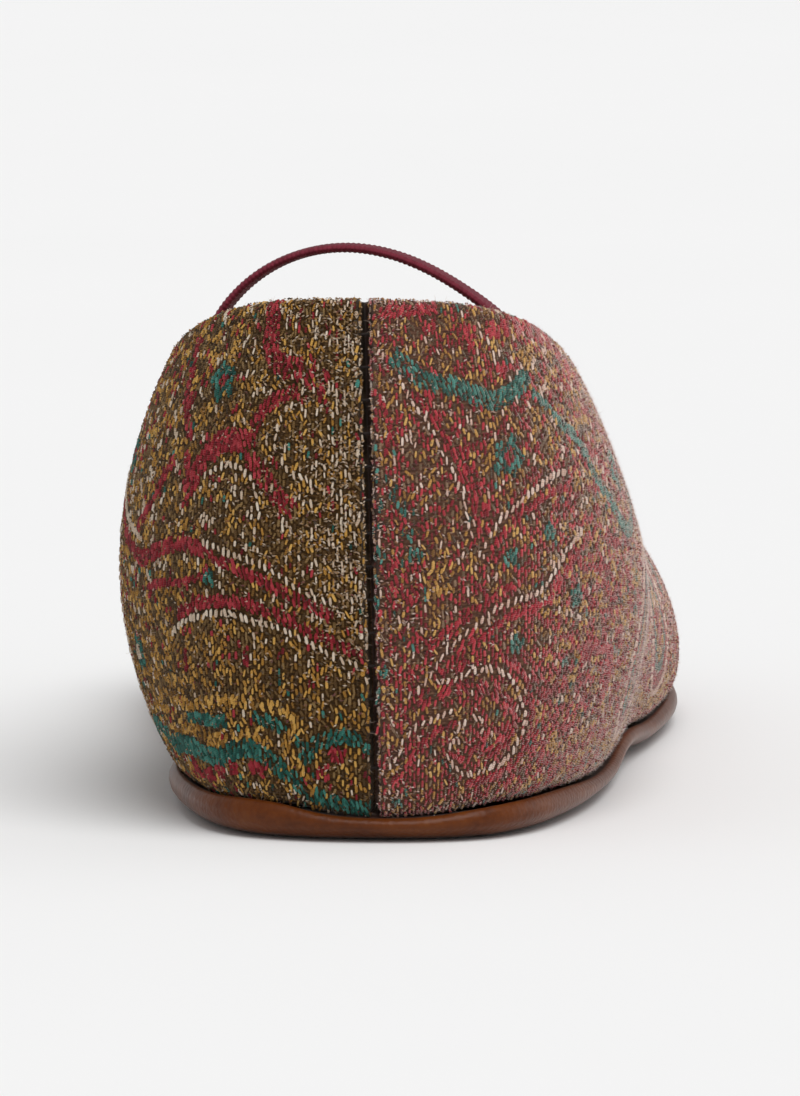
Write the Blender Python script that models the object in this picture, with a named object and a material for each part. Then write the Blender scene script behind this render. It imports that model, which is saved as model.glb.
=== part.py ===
"""Baby ballet flat, right shoe: soft leather outsole, hollow cloth upper, insole and elastic strap.

Worked out in millimetres: across is +X (lateral), along is +Y (heel to toe), up is +Z.
The objects are made in metres, with the origin under the middle of the shoe's box.
"""

import math
from collections import namedtuple

import bpy
import numpy as np

MM = 0.001

# Driving dimensions, in millimetres
GAP = 0.3                 # clearance between pieces that meet
WALL = 1.6                # upper: cloth, lining and the turned allowance between them
SOLE_THICKNESS = 2.6      # outsole at its rolled edge
SOLE_MARGIN = 1.0         # how far the outsole stands out past the foot of the upper
INSOLE_THICKNESS = 1.4
INSOLE_BEVEL = 0.4
TOE_SPRING = 2.6          # lift of the sole at the tip of the toe
SPRING_START = 95.0       # where the toe begins to lift, from the heel
ARCH_LIFT = 0.9           # lift of the sole at the waist
ARCH_START, ARCH_END = 35.0, 63.0
SEAM_WIDTH = 1.0          # groove of the back seam
SEAM_DEPTH = 0.7
STRAP_WIDTH = 6.0
STRAP_THICKNESS = 0.7
STRAP_EDGE = 0.3          # how far the strap's edges are rounded off
STRAP_ALONG = 46.5        # where the strap leaves the collar, from the heel
STRAP_PITCH = math.radians(5.5)    # the strap's rear edge stands higher, as an instep does
TAB_SHARE = 0.24          # share of the wall's height that the sewn end of the strap covers

# Fineness of the faceted solids
STATIONS = 92             # around the shoe, besides those at the seam
WALL_ROWS = 13            # up the wall
RIM_STEPS = 4             # over the folded edge of the collar
STRAP_STEPS = 44          # along the strap

# One row for each section, from the back seam to the tip of the toe. The feather line is the foot of
# the upper; the top line is the edge of the collar and throat. Each section is a Bezier curve from one
# to the other: low_ values move its first handle out and up, high_ values its second one.
Section = namedtuple("Section", """name feather_along feather_lateral feather_medial
    top_along top_lateral top_medial top_height low_out low_up high_out high_up""")
SECTIONS = [
    Section("back seam",     2.4,  1.4, -1.4,   4.8,  0.3, -0.3, 45.2,  3.6, 10.0,  4.8, -13.0),
    Section("heel corner",   5.2, 11.0, 10.3,   7.8,  9.8,  9.8, 44.5,  4.0, 10.0,  5.4, -12.5),
    Section("heel side",    14.6, 15.9, 15.2,  16.5, 15.3, 16.2, 41.2,  5.1,  9.8,  6.2, -12.0),
    Section("heel front",   29.0, 18.3, 17.8,  30.0, 17.3, 18.9, 35.0,  5.8,  9.2,  6.2, -11.0),
    Section("waist",        47.0, 19.2, 18.4,  46.0, 16.0, 19.0, 30.2,  5.0,  8.2,  6.0,  -9.0),
    Section("throat side",  62.0, 20.6, 20.8,  59.0, 12.8, 16.8, 27.6,  4.5,  7.0,  6.8,  -6.0),
    Section("ball",         77.0, 21.5, 23.4,  67.0,  8.4, 13.6, 26.4,  4.1,  6.4,  9.0,  -2.5),
    Section("toe joint",    92.0, 19.0, 23.6,  70.8,  4.4, 10.2, 26.0,  4.6,  7.4, 14.0,  -0.5),
    Section("toe shoulder", 104.5, 12.6, 19.2,  72.4,  1.4,  7.4, 25.8,  5.4,  8.4, 20.0,   0.3),
    Section("toe corner",   112.6, 4.2, 12.0,  73.0, -0.9,  5.0, 25.7,  6.2,  9.0, 24.5,   0.5),
    Section("toe tip",      115.0, -4.0, 4.0,  73.2, -3.0,  3.0, 25.7,  6.5,  9.0, 26.0,   0.5),
]
PLAN_PULL = 10.0          # how far a section keeps square to the feather line before it turns to the throat

# The outsole's edge from the floor to its top: distance in from the outline, and height
SoleRow = namedtuple("SoleRow", "inset height")
SOLE_EDGE = [SoleRow(4.6, 0.0), SoleRow(2.2, 0.18), SoleRow(0.8, 0.7), SoleRow(0.1, 1.35),
             SoleRow(0.0, 1.8), SoleRow(0.3, 2.35), SoleRow(1.0, 2.6)]

# The strap's arch between the two collar edges, from the lateral to the medial side
ArchRow = namedtuple("ArchRow", "across height")
STRAP_ARCH = [ArchRow(10.4, 38.0), ArchRow(5.6, 42.4), ArchRow(0.2, 45.2), ArchRow(-5.2, 46.1),
              ArchRow(-11.0, 44.6), ArchRow(-15.5, 40.7), ArchRow(-17.4, 35.4)]

Finish = namedtuple("Finish", "colour roughness")
FINISHES = {
    "outsole": Finish((0.20, 0.075, 0.028), 0.45),
    "upper": Finish((0.16, 0.085, 0.045), 0.9),
    "insole": Finish((0.42, 0.27, 0.16), 0.7),
    "strap": Finish((0.12, 0.008, 0.022), 0.75),
}


def unit(vectors):
    """Each vector at length one."""
    return vectors / np.linalg.norm(vectors, axis=-1, keepdims=True)


def spline(knots, values, at, closed):
    """A smooth cubic curve through the values at the knots. A closed one has its first value again at the end."""
    step = np.diff(knots)
    slope = np.diff(values, axis=0) / step[:, None]
    count = len(knots)
    matrix = np.eye(count)
    right = np.zeros((count, values.shape[1]))
    for i in range(1, count - 1):
        matrix[i, i - 1:i + 2] = step[i - 1], 2 * (step[i - 1] + step[i]), step[i]
        right[i] = 6 * (slope[i] - slope[i - 1])
    if closed:
        matrix[0, [0, 1, -2]] = 2 * (step[0] + step[-1]), step[0], step[-1]
        right[0] = 6 * (slope[0] - slope[-1])
        matrix[-1, 0] = -1
    bend = np.linalg.solve(matrix, right)
    i = np.clip(np.searchsorted(knots, at, side="right") - 1, 0, count - 2)
    h, a, b = step[i, None], (knots[i + 1] - at)[:, None], (at - knots[i])[:, None]
    return (bend[i] * a ** 3 + bend[i + 1] * b ** 3) / (6 * h) \
        + (values[i] / h - bend[i] * h / 6) * a + (values[i + 1] / h - bend[i + 1] * h / 6) * b


def chord(points):
    """Distance along a row of points, from the first one."""
    return np.concatenate([[0.0], np.cumsum(np.linalg.norm(np.diff(points, axis=0), axis=1))])


def lift(along):
    """How far the underside stands off the floor: an arch at the waist and the spring of the toe."""
    in_arch = np.clip((along - ARCH_START) / (ARCH_END - ARCH_START), 0, 1)
    in_toe = np.clip((along - SPRING_START) / (SECTIONS[-1].feather_along - SPRING_START), 0, None)
    return ARCH_LIFT * np.sin(math.pi * in_arch) ** 2 + TOE_SPRING * in_toe ** 2


def section_loop():
    """The section table as one closed loop: lateral side to the toe, then back along the medial side."""
    lateral = [(s.feather_lateral, s.feather_along, s.top_lateral, s.top_along, *s[7:]) for s in SECTIONS]
    medial = [(-s.feather_medial, s.feather_along, -s.top_medial, s.top_along, *s[7:]) for s in SECTIONS[-2:0:-1]]
    return np.array(lateral + medial + lateral[:1])


def stations(length):
    """Places around the feather line, with close ones that shape the groove of the back seam."""
    even = np.linspace(0, length, STATIONS, endpoint=False)[1:]
    groove = np.array([0.0, 0.5, 1.4]) * SEAM_WIDTH
    return np.concatenate([groove, even, length - groove[:0:-1]])


class Last:
    """The foot-shaped form that the pieces are worked out from."""

    def __init__(self):
        rows = section_loop()
        knots = chord(rows[:, :2])
        self.at = stations(knots[-1])
        values = spline(knots, rows, self.at, closed=True)
        ahead = spline(knots, rows, (self.at + 0.01) % knots[-1], closed=True)
        tangent = unit(ahead[:, :2] - values[:, :2])
        self.outward = np.column_stack([tangent[:, 1], -tangent[:, 0]])
        self.plan = values[:, :2]
        self.from_seam = np.minimum(self.at, knots[-1] - self.at)
        foot_height = SOLE_THICKNESS + GAP + lift(self.plan[:, 1])
        self.foot = np.column_stack([self.plan, foot_height])
        self.top = values[:, 2:5]
        low_out, low_up, high_out, high_up = values[:, 5:].T
        towards = unit(self.plan - self.top[:, :2] + PLAN_PULL * self.outward)
        self.low = self.foot + np.column_stack([self.outward * low_out[:, None], low_up])
        self.high = self.top + np.column_stack([towards * high_out[:, None], high_up])

    def outer(self, share):
        """The upper's outer face, at each share of the way up from the feather line to the top line."""
        t = np.asarray(share)[None, :, None]
        foot, low, high, top = (p[:, None, :] for p in (self.foot, self.low, self.high, self.top))
        return foot * (1 - t) ** 3 + 3 * low * t * (1 - t) ** 2 + 3 * high * t ** 2 * (1 - t) + top * t ** 3

    def normals(self, share):
        """Outward directions of the outer face."""
        small = 1e-3
        share = np.asarray(share)
        up = self.outer(np.minimum(share + small, 1)) - self.outer(np.maximum(share - small, 0))
        face = self.outer(share)
        round_the_shoe = np.roll(face, -1, axis=0) - np.roll(face, 1, axis=0)
        return unit(np.cross(round_the_shoe, up))

    def inner(self, share, depth=WALL):
        """The inner face, a wall's thickness in. At the foot it ends level with the outer face."""
        face = self.outer(share) - depth * self.normals(share)
        face[:, 0, 2] = np.where(np.asarray(share)[0] == 0, self.foot[:, 2], face[:, 0, 2])
        return face

    def station_near(self, along, lateral):
        """The station whose top edge is nearest to this place along the shoe, on one side."""
        wrong_side = (self.top[:, 0] > 0) != lateral
        return int(np.argmin(abs(self.top[:, 1] - along) + 1000.0 * wrong_side))


def ring_faces(rings, around):
    """Quads between one ring of points and the next, for rings stored one after another."""
    return [(r * around + i, r * around + (i + 1) % around, (r + 1) * around + (i + 1) % around, (r + 1) * around + i)
            for r in range(rings - 1) for i in range(around)]


def strip_across(first, around, upward):
    """A face over a ring as strips from the lateral to the medial side, so that it can follow the sole's curve."""
    half = around // 2
    faces = [(0, 1, around - 1)]
    faces += [(i, i + 1, around - i - 1, around - i) for i in range(1, half - 1)]
    faces.append((half - 1, half, half + 1))
    return [tuple(first + i for i in (face if upward else face[::-1])) for face in faces]


def stacked_solid(rings):
    """A closed solid from rings listed from the bottom up, closed below and above by strips."""
    around = len(rings[0])
    points = np.concatenate(rings)
    faces = ring_faces(len(rings), around)
    faces += strip_across(0, around, upward=False)
    faces += strip_across((len(rings) - 1) * around, around, upward=True)
    return points, faces


def make_outsole(last):
    rings = []
    outline = last.plan + SOLE_MARGIN * last.outward
    for row in SOLE_EDGE:
        plan = outline - row.inset * last.outward
        rings.append(np.column_stack([plan, row.height + lift(plan[:, 1])]))
    return stacked_solid(rings)


def make_insole(last):
    edge = last.inner([0.0])[:, 0, :2] - GAP * last.outward
    rings = []
    for inset, height in [(0.0, 0.0), (0.0, INSOLE_THICKNESS - INSOLE_BEVEL), (INSOLE_BEVEL, INSOLE_THICKNESS)]:
        plan = edge - inset * last.outward
        rings.append(np.column_stack([plan, SOLE_THICKNESS + GAP + height + lift(plan[:, 1])]))
    return stacked_solid(rings)


def make_upper(last):
    """One wall: up the outer face, over the folded edge, and down the inner face to the foot again."""
    share = np.linspace(0, 1, WALL_ROWS)
    outer, normals = last.outer(share), last.normals(share)
    groove = SEAM_DEPTH * np.clip(1 - last.from_seam / (0.5 * SEAM_WIDTH), 0, 1)
    outer = outer - groove[:, None, None] * normals
    inner = last.inner(share)
    middle, half = (outer[:, -1] + inner[:, -1]) / 2, (outer[:, -1] - inner[:, -1]) / 2
    upward = unit(last.outer([1.0])[:, 0] - last.outer([0.98])[:, 0])
    rings = list(outer.transpose(1, 0, 2))
    for step in range(1, RIM_STEPS):
        turn = math.pi * step / RIM_STEPS
        rings.append(middle + half * math.cos(turn) + upward * (WALL / 2 * math.sin(turn)))
    rings += list(inner.transpose(1, 0, 2)[::-1])
    around = len(last.at)
    faces = ring_faces(len(rings), around)
    first = (len(rings) - 1) * around
    faces += [(first + i, first + (i + 1) % around, (i + 1) % around, i) for i in range(around)]
    return np.concatenate(rings), faces


def strap_tab(last, lateral):
    """Points up the inner face of the wall for one sewn end of the strap, and the collar's direction there."""
    station = last.station_near(STRAP_ALONG, lateral)
    share = np.linspace(1 - TAB_SHARE, 1, 4)
    points = last.inner(share, WALL + GAP + STRAP_THICKNESS / 2)[station]
    collar = unit(last.top[station + 1] - last.top[station - 1])
    return points, collar * (1 if lateral else -1)


def strap_line(last):
    """The strap's middle line, from one sewn end over the arch to the other, with its width's direction."""
    lateral, lateral_collar = strap_tab(last, True)
    medial, medial_collar = strap_tab(last, False)
    arch = np.array([(row.across, STRAP_ALONG, row.height) for row in STRAP_ARCH])
    instep = np.array([0.0, math.cos(STRAP_PITCH), -math.sin(STRAP_PITCH)])
    points = np.concatenate([lateral, arch, medial[::-1]])
    widths = np.concatenate([[lateral_collar] * len(lateral), [instep] * len(arch), [medial_collar] * len(medial)])
    knots = chord(points)
    at = np.linspace(0, knots[-1], STRAP_STEPS)
    return spline(knots, points, at, closed=False), unit(spline(knots, widths, at, closed=False))


def make_strap(last):
    """A flat elastic band with rounded edges, swept along the strap's line."""
    line, width = strap_line(last)
    forward = unit(np.gradient(line, axis=0))
    width = unit(width - forward * np.sum(width * forward, axis=1, keepdims=True))
    face = np.cross(forward, width)
    half, flat, thick = STRAP_WIDTH / 2, STRAP_WIDTH / 2 - STRAP_EDGE, STRAP_THICKNESS / 2
    outline = [(half, 0), (flat, thick), (-flat, thick), (-half, 0), (-flat, -thick), (flat, -thick)]
    corners = len(outline)
    points = np.stack([line + w * width + t * face for w, t in outline], axis=1).reshape(-1, 3)
    faces = ring_faces(len(line), corners)
    faces += [tuple(range(corners))[::-1], tuple(range(len(points) - corners, len(points)))]
    return points, faces


def material(name):
    finish = FINISHES[name]
    made = bpy.data.materials.new(name)
    made.use_nodes = True
    shader = made.node_tree.nodes["Principled BSDF"]
    shader.inputs["Base Color"].default_value = (*finish.colour, 1.0)
    shader.inputs["Roughness"].default_value = finish.roughness
    shader.inputs["Metallic"].default_value = 0.0
    return made


def add_object(name, points, faces, origin):
    mesh = bpy.data.meshes.new(name)
    mesh.from_pydata((points - origin) * MM, [], faces)
    mesh.update()
    mesh.shade_smooth()
    mesh.set_sharp_from_angle(angle=math.radians(40.0))
    mesh.materials.append(material(name))
    made = bpy.data.objects.new(name, mesh)
    bpy.context.scene.collection.objects.link(made)
    return made


def main():
    for old in list(bpy.data.objects):
        bpy.data.objects.remove(old)
    last = Last()
    shapes = {
        "outsole": make_outsole(last),
        "upper": make_upper(last),
        "insole": make_insole(last),
        "strap": make_strap(last),
    }
    everything = np.concatenate([points for points, _ in shapes.values()])
    low, high = everything.min(axis=0), everything.max(axis=0)
    origin = np.array([(low[0] + high[0]) / 2, (low[1] + high[1]) / 2, low[2]])
    for name, (points, faces) in shapes.items():
        add_object(name, points, faces, origin)


main()
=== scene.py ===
"""Looks of the baby ballet flat: woven paisley cloth, rolled leather sole, elastic strap and the studio.

Shapes are worked out in millimetres, in the same way as the part: across is +X (lateral), along is +Y
(heel to toe), up is +Z. Pieces are placed in metres, in the part's own frame.
"""

import itertools
import math
from collections import namedtuple

import bpy
import numpy as np
from mathutils import Matrix, Vector
from mathutils.kdtree import KDTree

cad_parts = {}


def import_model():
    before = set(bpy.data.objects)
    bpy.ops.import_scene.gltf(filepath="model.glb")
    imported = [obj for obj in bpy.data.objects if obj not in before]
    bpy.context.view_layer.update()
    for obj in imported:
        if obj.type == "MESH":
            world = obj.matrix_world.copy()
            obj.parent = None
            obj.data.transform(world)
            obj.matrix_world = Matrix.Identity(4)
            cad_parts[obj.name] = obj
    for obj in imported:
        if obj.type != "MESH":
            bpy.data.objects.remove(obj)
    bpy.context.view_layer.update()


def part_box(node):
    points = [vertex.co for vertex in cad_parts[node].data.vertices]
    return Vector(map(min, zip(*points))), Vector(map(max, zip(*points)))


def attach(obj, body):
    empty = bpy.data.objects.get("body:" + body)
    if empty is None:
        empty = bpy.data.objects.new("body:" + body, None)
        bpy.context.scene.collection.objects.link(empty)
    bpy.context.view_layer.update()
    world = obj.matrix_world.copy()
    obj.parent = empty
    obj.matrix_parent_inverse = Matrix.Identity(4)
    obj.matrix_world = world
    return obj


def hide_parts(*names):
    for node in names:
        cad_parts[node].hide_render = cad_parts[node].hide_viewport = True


MM = 0.001
SEED = 18
SIGNS = {"lateral": 1, "medial": -1}      # which way each side lies from the middle

# Sizes of the shoe, in millimetres
GAP = 0.3
WALL = 1.6
SOLE_THICKNESS = 2.6
SOLE_MARGIN = 1.0
INSOLE_THICKNESS = 1.4
SOCK_GAP = 0.08           # between the sock's edge and the lining
TOE_SPRING = 2.6
SPRING_START = 95.0
ARCH_LIFT = 0.9
ARCH_START, ARCH_END = 35.0, 63.0
STRAP_WIDTH = 6.0
STRAP_THICKNESS = 0.7
STRAP_ALONG = 46.5
STRAP_PITCH = math.radians(4.4)
TAB_SHARE = 0.24

# Sections of the last, from the back seam to the tip of the toe
Section = namedtuple("Section", """name feather_along feather_lateral feather_medial
    top_along top_lateral top_medial top_height low_out low_up high_out high_up""")
SECTIONS = [
    Section("back seam",     2.4,  1.4, -1.4,   4.8,  0.3, -0.3, 45.2,  3.6, 10.0,  4.8, -13.0),
    Section("heel corner",   5.2, 11.0, 10.3,   7.8,  9.8,  9.8, 44.5,  4.0, 10.0,  5.4, -12.5),
    Section("heel side",    14.6, 15.9, 15.2,  16.5, 15.3, 16.2, 41.2,  5.1,  9.8,  6.2, -12.0),
    Section("heel front",   29.0, 18.3, 17.8,  30.0, 17.3, 18.9, 35.0,  5.8,  9.2,  6.2, -11.0),
    Section("waist",        47.0, 19.2, 18.4,  46.0, 16.0, 19.0, 30.2,  5.0,  8.2,  6.0,  -9.0),
    Section("throat side",  62.0, 20.6, 20.8,  59.0, 12.8, 16.8, 27.6,  4.5,  7.0,  6.8,  -6.0),
    Section("ball",         77.0, 21.5, 23.4,  67.0,  8.4, 13.6, 26.4,  4.1,  6.4,  9.0,  -2.5),
    Section("toe joint",    92.0, 19.0, 23.6,  70.8,  4.4, 10.2, 26.0,  4.6,  7.4, 14.0,  -0.5),
    Section("toe shoulder", 104.5, 12.6, 19.2,  72.4,  1.4,  7.4, 25.8,  5.4,  8.4, 20.0,   0.3),
    Section("toe corner",   112.6, 4.2, 12.0,  73.0, -0.9,  5.0, 25.7,  6.2,  9.0, 24.5,   0.5),
    Section("toe tip",      115.0, -4.0, 4.0,  73.2, -3.0,  3.0, 25.7,  6.5,  9.0, 26.0,   0.5),
]
PLAN_PULL = 10.0
ArchRow = namedtuple("ArchRow", "across height")
STRAP_ARCH = [ArchRow(10.4, 38.0), ArchRow(5.6, 42.4), ArchRow(0.2, 45.2), ArchRow(-5.2, 46.1),
              ArchRow(-11.0, 44.6), ArchRow(-15.5, 40.7), ArchRow(-17.4, 35.4)]

# Fineness of the cloth wall
SEAM_STATIONS = (0.0, 0.1, 0.2, 0.3, 0.38, 0.46, 0.54, 0.62, 0.72, 0.84, 1.0, 1.2, 1.5, 1.9, 2.4)
SIDE_STATIONS = 165
SIDE_START = 3.0          # where the even stations of a side begin
OUTER_ROWS = 80
RIM_STEPS = 8
LINING_COUNT = 22
LINING_ROWS = np.linspace(OUTER_ROWS - 1, 0, LINING_COUNT).round().astype(int)     # from the rim down

# The back seam: an open gap between two rolled lips, pulled together at each stitch
SeamRow = namedtuple("SeamRow", "rise half_width")
SEAM_ROWS = [SeamRow(*row) for row in (
    (0.0, 0.30), (5.0, 0.32), (10.0, 0.26), (15.0, 0.34), (20.0, 0.27), (25.0, 0.32), (28.5, 0.36),
    (31.5, 0.27), (34.5, 0.33), (36.5, 0.29), (38.5, 0.42), (40.5, 0.30), (43.0, 0.43), (45.5, 0.48),
)]
SEAM_PINCH = 0.15
SEAM_DEPTH = 1.3
SEAM_SOFTNESS = 0.06      # over which the wall goes down into the gap
SEAM_LIP, SEAM_LIP_AT, SEAM_LIP_WIDTH = 0.2, 0.42, 0.34     # height, distance from the edge and width
SEAM_ROUNDING, SEAM_ROUNDING_WIDTH = 0.3, 0.16
STITCH_PITCH = 2.8
STITCH_GRIP = 0.2         # share of the pitch over which a stitch pulls
SEAM_RAGGED = 0.08        # unevenness of each edge, as a slow and a quick wave
RAGGED_SLOW, RAGGED_QUICK, RAGGED_QUICK_SHARE = 2.3, 5.1, 0.8
SEAM_EVEN = 0.31          # half width at which the floats beside the seam stay where they are
SEAM_EVEN_REACH = 1.2     # how far from the seam its unevenness moves the floats

# Rise and fall of the sole's lip: distance along the feather line from the seam, lateral positive, and rise.
# Where the lip goes down the cloth comes down with it.
LipRow = namedtuple("LipRow", "distance rise")
LIP_ROWS = [LipRow(*row) for row in (
    (-125.0, 0.10), (-110.0, 0.25), (-90.0, 0.05), (-70.0, -0.20), (-50.0, -0.40), (-32.0, -0.05),
    (-20.0, 0.22), (-14.0, 0.30), (-10.0, 0.36), (-7.5, 0.12), (-4.5, -0.52), (0.0, -0.90), (4.0, -0.80),
    (8.0, -0.34), (13.0, 0.0), (22.0, -0.05), (31.0, -0.55), (42.0, -0.85), (56.0, -0.80), (72.0, -0.40),
    (92.0, 0.0), (110.0, 0.26), (125.0, 0.10),
)]
CLOTH_FOLLOWS = 0.95      # share of the lip's fall that the cloth goes along with
CLOTH_FOLLOW_REACH = 5.0
TUCK_DEPTH = 0.5          # how far the cloth turns in where it goes under the lip
TUCK_REACH = 0.8
LINING_FOLLOWS = 0.2      # deepest hollow of the cloth that the lining goes along with

# The cloth's chart: distance from the back seam around the shoe, and distance up from the feather line
HEEL_TURN = 29.5          # where the chart stops turning round the heel and runs along the shoe
TOE_TURN = 92.0           # where it starts to turn down over the toe
TOE_AXIS_DEPTH = 12.0
TOE_RADIUS = 34.0
COLUMN_PITCH = 0.37       # from one column of floats to the next
ROW_PITCH = 0.74          # from one float to the next in a column
COLUMN_START = 0.4        # the first column, as a share of the pitch
COLUMN_FEWEST = 4         # rows of the wall that a column has to cross
ROW_START = 0.2
COLUMN_JITTER, ROW_JITTER = 0.08, 0.07
CROWDED = 0.75            # share of the pitch below which columns lose floats
THROAT_SLANT = 0.7        # share of its spacing at which the rim counts as running along the columns
FLOAT_HALF_LENGTH = 0.39
FLOAT_HALF_WIDTH = 0.132
FLOAT_HEIGHT = 0.14
FLOAT_FLATNESS = 0.55     # how far a float is lit like the cloth it lies on, and not like a round cord
RUN_PITCH = 0.30          # from one row of floats to the next in a run of colour
RUN_COVER = 0.88          # share of a run's places that are filled
RUN_STEP, RUN_STEP_RISING, RUN_STEP_JITTER = 0.40, 0.28, 0.06     # along a run, and more where it goes up
RUN_SHIFT, RUN_SHIFT_JITTER = 0.3, 0.2     # of every second row, and of each
RUN_WANDER = 0.05
DASH_SHOWN = 0.62         # share of a dash that is filled
# How much the floats of a run lean towards it
RUN_SLANTS = {"lateral": 0.45, "medial": 0.25, "vamp": 0.4}
SINGLE_ROW_STEP = 1.3     # spacing in a run of one row
RUN_RAISED = 0.04         # how far a run's floats stand above those of the ground
CREAM_RAISED = 0.13
RUN_CLEARS, CREAM_CLEARS = 0.27, 0.36      # no floats of the ground nearer to a run's than this
VAMP_FROM_ALONG, VAMP_FROM_RISE = 66.0, 13.0
VAMP_BLEND_ALONG = (58.0, 80.0)      # where the blend of the two sides starts and where it is widest
VAMP_BLEND_WIDTHS = (0.02, 30.0)
SEAM_BARE = 0.36          # no floats nearer to the seam than this

# Soft hollows and rises of the lasted cloth: a run between two places, its width and its depth
Crease = namedtuple("Crease", "start end width depth")
CREASES = [
    Crease((21.0, 34.0, 8.0), (23.5, 50.0, 15.0), 7.0, 0.45),
    Crease((-20.5, 40.0, 8.0), (-22.0, 54.0, 14.0), 7.0, 0.40),
    Crease((12.0, 2.0, 7.0), (18.0, 10.0, 9.0), 4.0, 0.22),
    Crease((-11.0, 2.5, 22.0), (-18.0, 11.0, 24.0), 5.0, -0.25),
    Crease((-12.0, 83.0, 24.0), (10.0, 80.0, 24.0), 3.2, 0.28),
    Crease((-15.0, 89.5, 21.0), (-2.0, 88.0, 25.0), 3.0, 0.18),
    Crease((14.0, 100.0, 6.0), (12.0, 98.0, 12.0), 2.2, 0.20),
    Crease((-20.0, 102.0, 6.0), (-17.5, 99.0, 12.0), 2.2, 0.20),
]

# Gathers where the cloth is drawn in to the sole: distance along the feather line from the seam, and depth
Gather = namedtuple("Gather", "side distance depth")
GATHERS = [Gather("lateral", *row) for row in (
    (7.5, 0.16), (11.0, 0.20), (14.2, 0.15), (19.0, 0.18), (98.0, 0.20), (103.0, 0.26), (108.5, 0.24),
    (114.0, 0.28), (119.5, 0.22),
)]
GATHERS += [Gather("medial", *row) for row in (
    (6.0, 0.16), (9.8, 0.18), (15.0, 0.20), (21.0, 0.14), (100.0, 0.22), (105.0, 0.24), (111.0, 0.26),
    (116.0, 0.24), (122.0, 0.22),
)]
GATHER_WIDTH = 1.3
GATHER_REACH = 4.0


def unit(vectors):
    """Each vector at length one."""
    return vectors / np.linalg.norm(vectors, axis=-1, keepdims=True)


def bell(away, width):
    """One at no distance, falling off smoothly to nothing."""
    return np.exp(-(away / width) ** 2)


def blend(first, second, share):
    """What lies between two values, at a share of the way from the first."""
    return first * (1 - share) + second * share


def spline(knots, values, at, closed=False):
    """A smooth cubic curve through the values at the knots. A closed one ends with its first value."""
    step = np.diff(knots)
    slope = np.diff(values, axis=0) / step[:, None]
    count = len(knots)
    matrix = np.eye(count)
    right = np.zeros((count, values.shape[1]))
    for i in range(1, count - 1):
        matrix[i, i - 1:i + 2] = step[i - 1], 2 * (step[i - 1] + step[i]), step[i]
        right[i] = 6 * (slope[i] - slope[i - 1])
    if closed:
        matrix[0, [0, 1, -2]] = 2 * (step[0] + step[-1]), step[0], step[-1]
        right[0] = 6 * (slope[0] - slope[-1])
        matrix[-1, 0] = -1
    bend = np.linalg.solve(matrix, right)
    i = np.clip(np.searchsorted(knots, at, side="right") - 1, 0, count - 2)
    h, a, b = step[i, None], (knots[i + 1] - at)[:, None], (at - knots[i])[:, None]
    return (bend[i] * a ** 3 + bend[i + 1] * b ** 3) / (6 * h) \
        + (values[i] / h - bend[i] * h / 6) * a + (values[i + 1] / h - bend[i + 1] * h / 6) * b


def chord(points):
    """Distance along each row of points from its first one. Rows go along the first axis."""
    steps = np.linalg.norm(np.diff(points, axis=0), axis=-1)
    return np.concatenate([np.zeros((1, *steps.shape[1:])), np.cumsum(steps, axis=0)])


def lift(along):
    """How far the underside stands off the floor: an arch at the waist and the spring of the toe."""
    in_arch = np.clip((along - ARCH_START) / (ARCH_END - ARCH_START), 0, 1)
    in_toe = np.clip((along - SPRING_START) / (SECTIONS[-1].feather_along - SPRING_START), 0, None)
    return ARCH_LIFT * np.sin(math.pi * in_arch) ** 2 + TOE_SPRING * in_toe ** 2


def section_loop():
    """The section table as one closed loop: lateral side to the toe, then back along the medial side."""
    lateral = [(s.feather_lateral, s.feather_along, s.top_lateral, s.top_along, *s[7:]) for s in SECTIONS]
    medial = [(-s.feather_medial, s.feather_along, -s.top_medial, s.top_along, *s[7:])
              for s in SECTIONS[-2:0:-1]]
    return np.array(lateral + medial + lateral[:1])


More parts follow.
